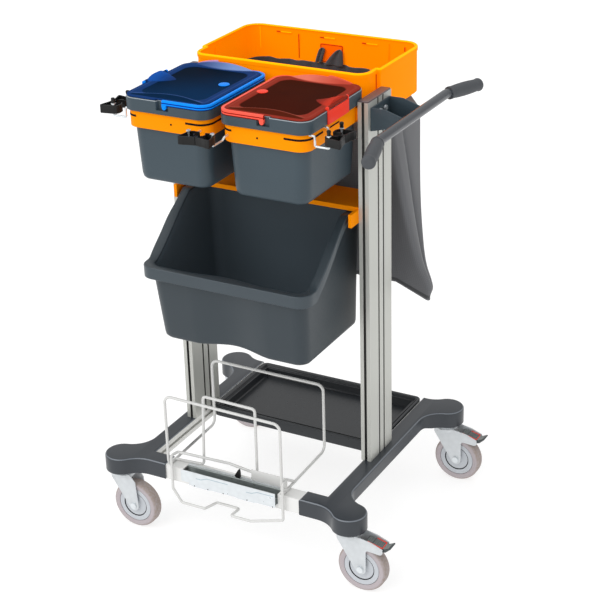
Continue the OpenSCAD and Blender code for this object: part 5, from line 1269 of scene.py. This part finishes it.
class CART_OT_bag(bpy.types.Operator):
    """Adds the cloth bag: a gathered hem on the tray's ledge, a sack that draws flat and wide to its
    bottom seam with broad upright folds, folded gussets and drooping corners, and two ears at the
    back."""
    bl_idname = "cart.bag"
    bl_label = "Cloth bag"

    def execute(self, context):
        counts = splits(rect(222.0, 97.0, 14.0), 4.0)
        sack = self.sack(counts, context.scene.cart_sizes.fold / MM)
        hem = self.hem(counts, sack[0, :, :2])
        shut = sack[-1:].copy()
        shut[..., 1] = BAG_Y
        cloth = np.concatenate((hem[::-1], sack, shut))
        seam = np.zeros((len(cloth) - 1, cloth.shape[1]), int)
        seam[-4:-2] = 1
        seam[:len(hem)] = 2
        bag = piece("bag_cloth", Skin().grid(cloth, caps=(False, False), mark=seam),
                    ("cloth", "cloth_seam", "cloth_hem"), "cart_frame", ["laundry_bag", "bag_hem"],
                    60)
        thread_map(bag, cloth)
        self.ear("left", (-48.0, -36.0), (-31.0, -20.0), 1092.0)
        self.ear("right", (-22.0, 12.0), (29.0, 27.0), 1088.0)
        return {"FINISHED"}

    def sack(self, counts, deep):
        """Rows of the sack from its mouth down, t from 0 to 1: a rounded rectangle that grows wider and
        thinner, with sine folds, a belly between them, a tuck in each gusset and a droop that is greatest
        at the corners."""
        t = np.linspace(0.0, 1.0, 120)[:, None]
        wide, thick = MOUTH_HX + 66.0 * t + 24.0 * t ** 4, MOUTH_HY - 89.0 * t
        bulge = (15.0 + 13.0 * np.exp(-(t / 0.45) ** 2) + 8.0 * np.exp(-((t - 0.93) / 0.07) ** 2)
                 - 11.0 * smooth((t - 0.94) / 0.06))
        wide = wide + smooth(t / 0.1) * bulge
        flat = np.stack([denser(rect(w, h, min(16.0, h * 0.8)), counts)
                         for w, h in zip(wide.ravel(), thick.ravel())])
        cols = flat.shape[1]
        u = np.arange(cols) / cols * 2 * math.pi
        along = np.roll(flat, -1, 1) - np.roll(flat, 1, 1)
        out = unit(np.stack((along[..., 1], -along[..., 0]), -1))
        sway = np.sin(t * math.pi) ** 0.7
        slack = np.clip(thick / 45.0, 0.25, 1.0)
        fold = deep * sway * slack * (np.sin(5 * u + 1.1 + 0.9 * t) + 0.35 * np.sin(9 * u - 2.0 * t + 0.4))
        fold = fold * np.where(np.abs(out[..., 0]) > 0.6, 0.3, 1.0)
        belly = 6.0 * sway * slack * (1 - np.clip(np.abs(flat[..., 0]) / wide, 0, 1) ** 2)
        middle = (2 * (0.3 + 0.42 * t) - 1) * thick
        tuck = -9.0 * sway * np.exp(-np.abs(flat[..., 1] - middle) / 7.0) * (np.abs(out[..., 0]) > 0.8)
        flat = flat + out * (fold + belly + tuck)[..., None]
        droop = t ** 2 * (12.0 + 36.0 * np.clip((np.abs(flat[..., 0]) / wide - 0.72) / 0.28, 0.0, 1.1))
        return np.concatenate((flat + (0.0, BAG_Y), (MOUTH_Z - 454.0 * t - droop)[..., None]), -1)

    def hem(self, counts, mouth):
        """Rows of the hem from the sack's mouth up: it laps out over the tray's ledge, then rises in fine
        pleats."""
        t = np.linspace(0.0, 1.0, 16)[:, None]
        u = np.arange(len(mouth)) / len(mouth) * 2 * math.pi
        line = denser(rect(230.0, 109.5, 34.0), counts)
        lap = smooth(t * 3.2)
        rise = np.maximum(t - 0.3, 0) / 0.7
        pleat = rise * (2.4 * np.sin(17 * u) + 1.6 * np.sin(41 * u + 1)) - 2.0 * rise
        around = line[None] * lap[..., None] + (mouth - (0.0, BAG_Y))[None] * (1 - lap)[..., None]
        around = around + unit(line)[None] * pleat[..., None] + (0.0, BAG_Y)
        crest = 1062.0 + 27.0 * rise + rise * (1.6 * np.sin(3 * u + 1) + 1.2 * np.sin(23 * u))
        return np.concatenate((around, crest[..., None]), -1)

    def ear(self, name, left, right, low):
        """One gathered end of the hem at the tray's back wall: a rippled flap with a round tip. left
        and right give the x value of each side at the foot and at the tip."""
        high, wall = 1130.0, 284.6
        s, v = np.linspace(0.0, 1.0, 14)[None], np.linspace(0.0, 1.0, 18)[:, None]
        tip = np.sqrt(np.clip(1 - ((v - 0.78) / 0.22) ** 2, 0.0, 1.0)) * (v > 0.78) + (v <= 0.78)
        a = left[0] + (left[1] - left[0]) * v ** 1.2
        b = right[0] + (right[1] - right[0]) * v
        centre, width = (a + b) / 2, (b - a) / 2 * np.maximum(tip, 0.12)
        x = centre + width * (2 * s - 1)
        y = wall - 2.6 * np.sin(s * math.pi * 3 + 0.4) * (1 - 0.5 * v) - 1.5 * (1 - v)
        ear = np.stack((x, y, np.broadcast_to(low + (high - low) * v, x.shape)), -1)
        flap = piece("bag_ear_" + name, Skin().grid(ear, wrap=False, caps=(False, False)), ["cloth_hem"],
                     "cart_frame", (), 60)
        thread_map(flap, ear)


# Handle and clips

# The handle's bends, by radius, angle and tilt, and its straight bar, by x, half length and height
BEND_R, BEND_TURN, BEND_TILT = 60.0, math.radians(16), math.radians(11)
BAR_X, BAR_HALF, BAR_Z = 350, 172, 1090


def handle_axis(s, run):
    """Points of one end of the handle's axis: an arc of the bend, then a straight run, tilted down."""
    a = np.linspace(0, BEND_TURN, 10)
    last = (math.sin(BEND_TURN), math.cos(BEND_TURN))
    u = np.concatenate((BEND_R * (1 - np.cos(a)), [BEND_R * (1 - last[1]) + run * last[0]]))
    v = np.concatenate((BAR_HALF + BEND_R * np.sin(a), [BAR_HALF + BEND_R * last[0] + run * last[1]]))
    return np.stack((BAR_X + u * math.cos(BEND_TILT), s * v, BAR_Z - u * math.sin(BEND_TILT)), -1)


class CART_OT_handle(bpy.types.Operator):
    """Adds the push handle: bent tube, ribbed grips with a rounded end, and the open bracket on the
    post."""
    bl_idname = "cart.handle"
    bl_label = "Handle"

    def execute(self, context):
        middle = np.linspace((BAR_X, -150, BAR_Z), (BAR_X, 150, BAR_Z), 9)
        path = np.concatenate((handle_axis(-1, 108)[::-1], middle, handle_axis(1, 108)))
        piece("handle_tube_bent", Skin().grid(tube(path, 23.0, 40)), ["tube"], "cart_frame", ["handle_tube"],
              40)
        self.grips()
        self.bracket()
        return {"FINISHED"}

    def grips(self):
        """Two sleeves turned about the tube's ends: a collar, a swelling run of fine ribs and a round
        end."""
        ribs = 90
        z = np.linspace(12.0, 100.0, ribs)
        swell = 14.0 + 2.1 * np.sin(np.clip((z - 8) / 96, 0, 1) * math.pi) ** 0.8
        swell = swell + 0.25 * (np.arange(ribs) // 2 % 2)
        line = np.concatenate((
            [(11.7, 2.0), (14.6, 2.0), (15.4, 3.0), (15.4, 9.0), (14.0, 10.0)], np.stack((swell, z), -1),
            arc((8.2, 110.0), 7.8, 0, 90, 8), [(5.0, 117.2), (0.3, 117.2)]))
        p = turned(line, 48)
        skin = Skin()
        for s in (-1, 1):
            a, b = handle_axis(s, 112.0)[-2:]
            way = unit(b - a)
            side = unit(np.cross(way, (0, 0, 1.0)))
            skin.grid(a + p[..., :1] * side + p[..., 1:2] * np.cross(side, way) + p[..., 2:] * way)
        piece("grip_sleeves", skin, ["grip"], "cart_frame", ["grips"], 40)

    def bracket(self):
        """Two cheeks, a back plate against the post and a sloping floor."""
        (post, _, foot), (_, half, _) = box_mm("handle_bracket")
        post, thick, head = post + 0.2, 3.2, 1113.4
        cheek = ((post, foot), (343, 1077.4), (349, 1092), (346, 1099.5), (302, head), (post, head))
        rows = slab(lambda i: outline(cheek, (8, 4, 4, 4, 6, 0.6), i, 5), half - thick, half, 0.9)
        skin = Skin()
        for s in (-1, 1):
            skin.grid(rows[..., (0, 2, 1)] * (1, s, 1))
        skin.block((post, -half + 1, foot + 1), (post + thick, half - 1, head - 0.2), 0.9)
        floor = np.array(((post, 1058.2), (338, 1076.0), (338, 1078.6), (post, 1060.8)))
        skin.grid(along_y(np.stack([at(floor, y) for y in (half - 1, 1 - half)])))
        piece("handle_cup", skin, ["grey"], "cart_frame", ["handle_bracket"], 35)


# A tool clip: where it sits, its turn about Z and how much lower it lies; the reach of its arms, and half
# the width and the height at which they leave the ring; and whether its pins carry knobs
Clip = namedtuple("Clip", "x y turn drop reach root rise knobs")
CLIPS = {
    "right": Clip(278.5, -240.0, 0, 0.0, 46.0, 31.0, 1114.0, True),
    "left": Clip(-278.5, -240.0, 180, 0.0, 46.0, 31.0, 1114.0, True),
    "front": Clip(0.0, -344.5, -90, -7.0, 56.0, 34.8, 1099.0, False)}
# Each clip's jaws and the side of the clip that they turn on
JAWS = {"right": (("front", -1), ("rear", 1)), "left": (("front", 1), ("rear", -1)),
        "front": (("left", -1), ("right", 1))}
# Half the distance between the jaws' pins, their x about the clip's middle, and the radius of the
# hollow for the tool
PIN_Y, PIN_X, TOOL_R = 30, -2, 12.1


def clip_place(p, clip):
    """Turns a clip's own shape about Z and moves it to its spot."""
    a = math.radians(clip.turn)
    x = p[..., 0] * math.cos(a) - p[..., 1] * math.sin(a)
    y = p[..., 0] * math.sin(a) + p[..., 1] * math.cos(a)
    return np.stack((x + clip.x, y + clip.y, p[..., 2] + clip.drop), -1)


class CART_OT_clips(bpy.types.Operator):
    """Adds the tool clips: bright wire arms, with black knobs on the side clips, and black jaws with sunk
    pockets and ribbed walls."""
    bl_idname = "cart.clips"
    bl_label = "Tool clips"

    def execute(self, context):
        self.arms()
        self.jaws()
        return {"FINISHED"}

    def arms(self):
        """Wires bent from the ring out, down and up again as the jaws' pins, each with a bright ring on
        top."""
        collar = turned(((0.3, 1116.9), (5.2, 1116.9), (5.4, 1117.6), (5.0, 1119.4), (0.3, 1119.4)), 24)
        knob = turned(((0.3, 1119.2), (4.2, 1119.2), (4.2, 1125.4), (4.7, 1126.2), (4.8, 1129.6),
                       (4.0, 1131.4), (2.2, 1132.2), (0.3, 1132.4)), 24)
        low = 1090.2
        skin = Skin()
        for clip in CLIPS.values():
            elbow = -clip.reach * 0.78
            for s in (-1, 1):
                root, pin = s * clip.root, s * PIN_Y
                path = rounded_path((
                    (-clip.reach - 3, root, clip.rise), (elbow, root, clip.rise), (elbow, pin, low),
                    (PIN_X, pin, low), (PIN_X, pin, 1118)), (4, 4, 4, 2.4, 4), 5)
                skin.grid(clip_place(tube(path, 5.0, 16), clip))
                skin.grid(clip_place(collar + (PIN_X, pin, 0), clip))
                if clip.knobs:
                    skin.grid(clip_place(knob + (PIN_X, pin, 0), clip), mark=1)
        piece("clip_arm_wire", skin, ("zinc", "black"), "cart_frame", ["clip_arms"], 50)

    def jaws(self):
        """One block for each jaw: its outline has a hollow for the tool, its walls are grooved and its
        top is sunk."""
        body = np.concatenate((
            [(21.5, 0.7), (TOOL_R, 0.7)], arc((0.0, 0.0), TOOL_R, 4, 150, 20),
            [(-13.0, 9.0), (-14.5, 16.0), (-14.5, 25.0), (-11.0, 31.5), (-4.0, 34.6), (27.6, 39.8),
             (28.8, 39.0), (29.2, 36.5), (28.0, 29.0), (24.5, 18.0), (22.5, 8.0)]))
        body = denser(body, splits(body, 1.5))
        outer = np.hypot(body[:, 0], body[:, 1]) > TOOL_R + 0.3
        ribs = np.where(np.arange(len(body)) % 2, 0.45, 0.0) * outer
        line = lambda i: body + unit(np.array((8.0, 24.0)) - body) * np.reshape(i, (-1, 1))
        wall = ((0.9, 1094.6), (0.2, 1095.2), (0.0, 1096.2), (ribs, 1096.8), (ribs, 1112.2), (0.0, 1112.8),
                (0.0, 1113.8), (0.5, 1114.4), (2.9, 1114.4), (3.3, 1114.0), (3.5, 1102.0))
        jaw = np.stack([at(line(i), z) for i, z in wall])
        for name, pair in JAWS.items():
            for end, s in pair:
                place = lambda p: clip_place(p * (1, s, 1), CLIPS[name])
                node = "{}_clip_jaw_{}".format(name, end)
                piece("{}_jaw_{}_ribbed".format(name, end), Skin().grid(jaw), ["black"], node + "_body",
                      [node], 30, place)


# Stage

# The view: degrees round, up and tilted, distance and point looked at in metres, and focal length in
# pixels
VIEW_ROUND, VIEW_UP, VIEW_TILT = 29.01, 24.89, -1.59
VIEW_FAR, VIEW_AT, FOCUS_PX = 3.9894, (0.0456, 0.0, 0.5752), 1620.8
PHOTO_PX, SENSOR_MM = 600, 36.0
WHITE = (1.0, 1.0, 1.0, 1.0)


class CART_OT_stage(bpy.types.Operator):
    """Adds the pale floor, the soft lights and the camera at the photograph's angle."""
    bl_idname = "cart.stage"
    bl_label = "Stage"

    def execute(self, context):
        context.scene.view_settings.view_transform = "Standard"
        self.floor(context.scene)
        self.sky(context.scene)
        self.lamp(context.scene, "key", "SUN", 1.2, (-1.0, -2.4, 3.0), angle=math.radians(60))
        self.lamp(context.scene, "fill", "AREA", 2.5, (3.4, -1.6, 2.2), size=3.0)
        self.camera(context.scene)
        return {"FINISHED"}

    def floor(self, scene):
        """A wide matt sheet just under the wheels, lit a little from within so that it stays pale."""
        half, low = 30, -0.5 * MM
        mesh = bpy.data.meshes.new("floor")
        mesh.from_pydata([(-half, -half, low), (half, -half, low), (half, half, low), (-half, half, low)], [],
                         [(0, 1, 2, 3)])
        m, tree, out, where = blank("studio_floor")
        slow = add(tree, "ShaderNodeTexNoise", {"Vector": where, "Scale": per(1250)})
        gloss = add(tree, "ShaderNodeMapRange", {"Value": (slow, "Fac"), "To Min": 0.7, "To Max": 0.8})
        fill(tree, out, {"Roughness": (gloss, 0), "Base Color": tuple(scene.cart_colours.floor),
                         "Specular IOR Level": 0.0, "Emission Color": WHITE, "Emission Strength": 0.7})
        mesh.materials.append(m)
        ground = bpy.data.objects.new("floor", mesh)
        scene.collection.objects.link(ground)

    def sky(self, scene):
        """A white room, dimmer towards the floor in what it lights, and white behind the cart."""
        scene.world = bpy.data.worlds.new("studio")
        scene.world.use_nodes = True
        tree = scene.world.node_tree
        split = add(tree, "ShaderNodeSeparateXYZ", {0: (add(tree, "ShaderNodeTexCoord"), "Generated")})
        light = add(tree, "ShaderNodeMapRange", {"Value": (split, "Z"), "From Min": 0.0, "From Max": 1.0,
                                                 "To Min": 0.6, "To Max": 1.0})
        seen = add(tree, "ShaderNodeMath", {0: (add(tree, "ShaderNodeLightPath"), "Is Camera Ray"),
                                            1: (light, 0)}, operation="MAXIMUM")
        fill(tree, tree.nodes["Background"], {"Color": WHITE, "Strength": (seen, 0)})

    def lamp(self, scene, name, kind, power, spot, **shape):
        """A light at a spot, aimed at the middle of the cart."""
        data = bpy.data.lights.new(name, kind)
        data.energy = power
        for key, value in shape.items():
            setattr(data, key, value)
        obj = bpy.data.objects.new(name, data)
        obj.location = spot
        aim = -unit(np.array(spot) - np.array((0.0, 0.0, 0.6)))
        obj.rotation_euler = (math.acos(-aim[2]), 0.0, math.atan2(-aim[0], aim[1]))
        scene.collection.objects.link(obj)

    def camera(self, scene):
        """The photograph's view: it stands back from the point looked at along its own axis, and tilts
        about it."""
        az, el, roll = math.radians(VIEW_ROUND), math.radians(VIEW_UP), math.radians(VIEW_TILT)
        back = np.array((math.sin(az) * math.cos(el), -math.cos(az) * math.cos(el), math.sin(el)))
        right = np.array((math.cos(az), math.sin(az), 0.0))
        up = np.cross(back, right)
        place = np.eye(4)
        place[:3, 0] = math.cos(roll) * right + math.sin(roll) * up
        place[:3, 1] = -math.sin(roll) * right + math.cos(roll) * up
        place[:3, 2] = back
        place[:3, 3] = np.array(VIEW_AT) + VIEW_FAR * back
        lens = bpy.data.cameras.new("photo_view")
        lens.sensor_width, lens.lens, lens.clip_end = SENSOR_MM, FOCUS_PX / PHOTO_PX * SENSOR_MM, 100.0
        eye = bpy.data.objects.new("photo_view", lens)
        eye.matrix_world = Matrix(place.tolist())
        scene.collection.objects.link(eye)
        scene.camera = eye


STEPS = (CART_OT_finishes, CART_OT_stage, CART_OT_base_covers, CART_OT_rear_tray, CART_OT_rails,
         CART_OT_channel, CART_OT_rack, CART_OT_castors, CART_OT_bin, CART_OT_buckets, CART_OT_bails,
         CART_OT_lids, CART_OT_rings, CART_OT_top_tray, CART_OT_bag, CART_OT_handle, CART_OT_clips)


class CART_PT_panel(bpy.types.Panel):
    """Lists the cart's steps, sizes and colours."""
    bl_idname = "CART_PT_panel"
    bl_label = "Janitor cart"
    bl_space_type = "VIEW_3D"
    bl_region_type = "UI"
    bl_category = "Cart"

    def draw(self, context):
        for group in (context.scene.cart_sizes, context.scene.cart_colours):
            for key in group.__annotations__:
                self.layout.prop(group, key)
        for step in STEPS:
            self.layout.operator(step.bl_idname)


CLASSES = (CartColours, CartSizes, *STEPS, CART_PT_panel)


def register():
    """Registers the classes and hangs the sizes and colours on the scene."""
    for cls in CLASSES:
        bpy.utils.register_class(cls)
    bpy.types.Scene.cart_colours = PointerProperty(type=CartColours)
    bpy.types.Scene.cart_sizes = PointerProperty(type=CartSizes)


def unregister():
    """Undoes what register did, in the opposite order."""
    del bpy.types.Scene.cart_sizes
    del bpy.types.Scene.cart_colours
    for cls in reversed(CLASSES):
        bpy.utils.unregister_class(cls)


def main():
    """Makes the whole cart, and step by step."""
    register()
    for step in STEPS:
        group, name = step.bl_idname.split(".")
        getattr(getattr(bpy.ops, group), name)()


if __name__ == "__main__":
    main()
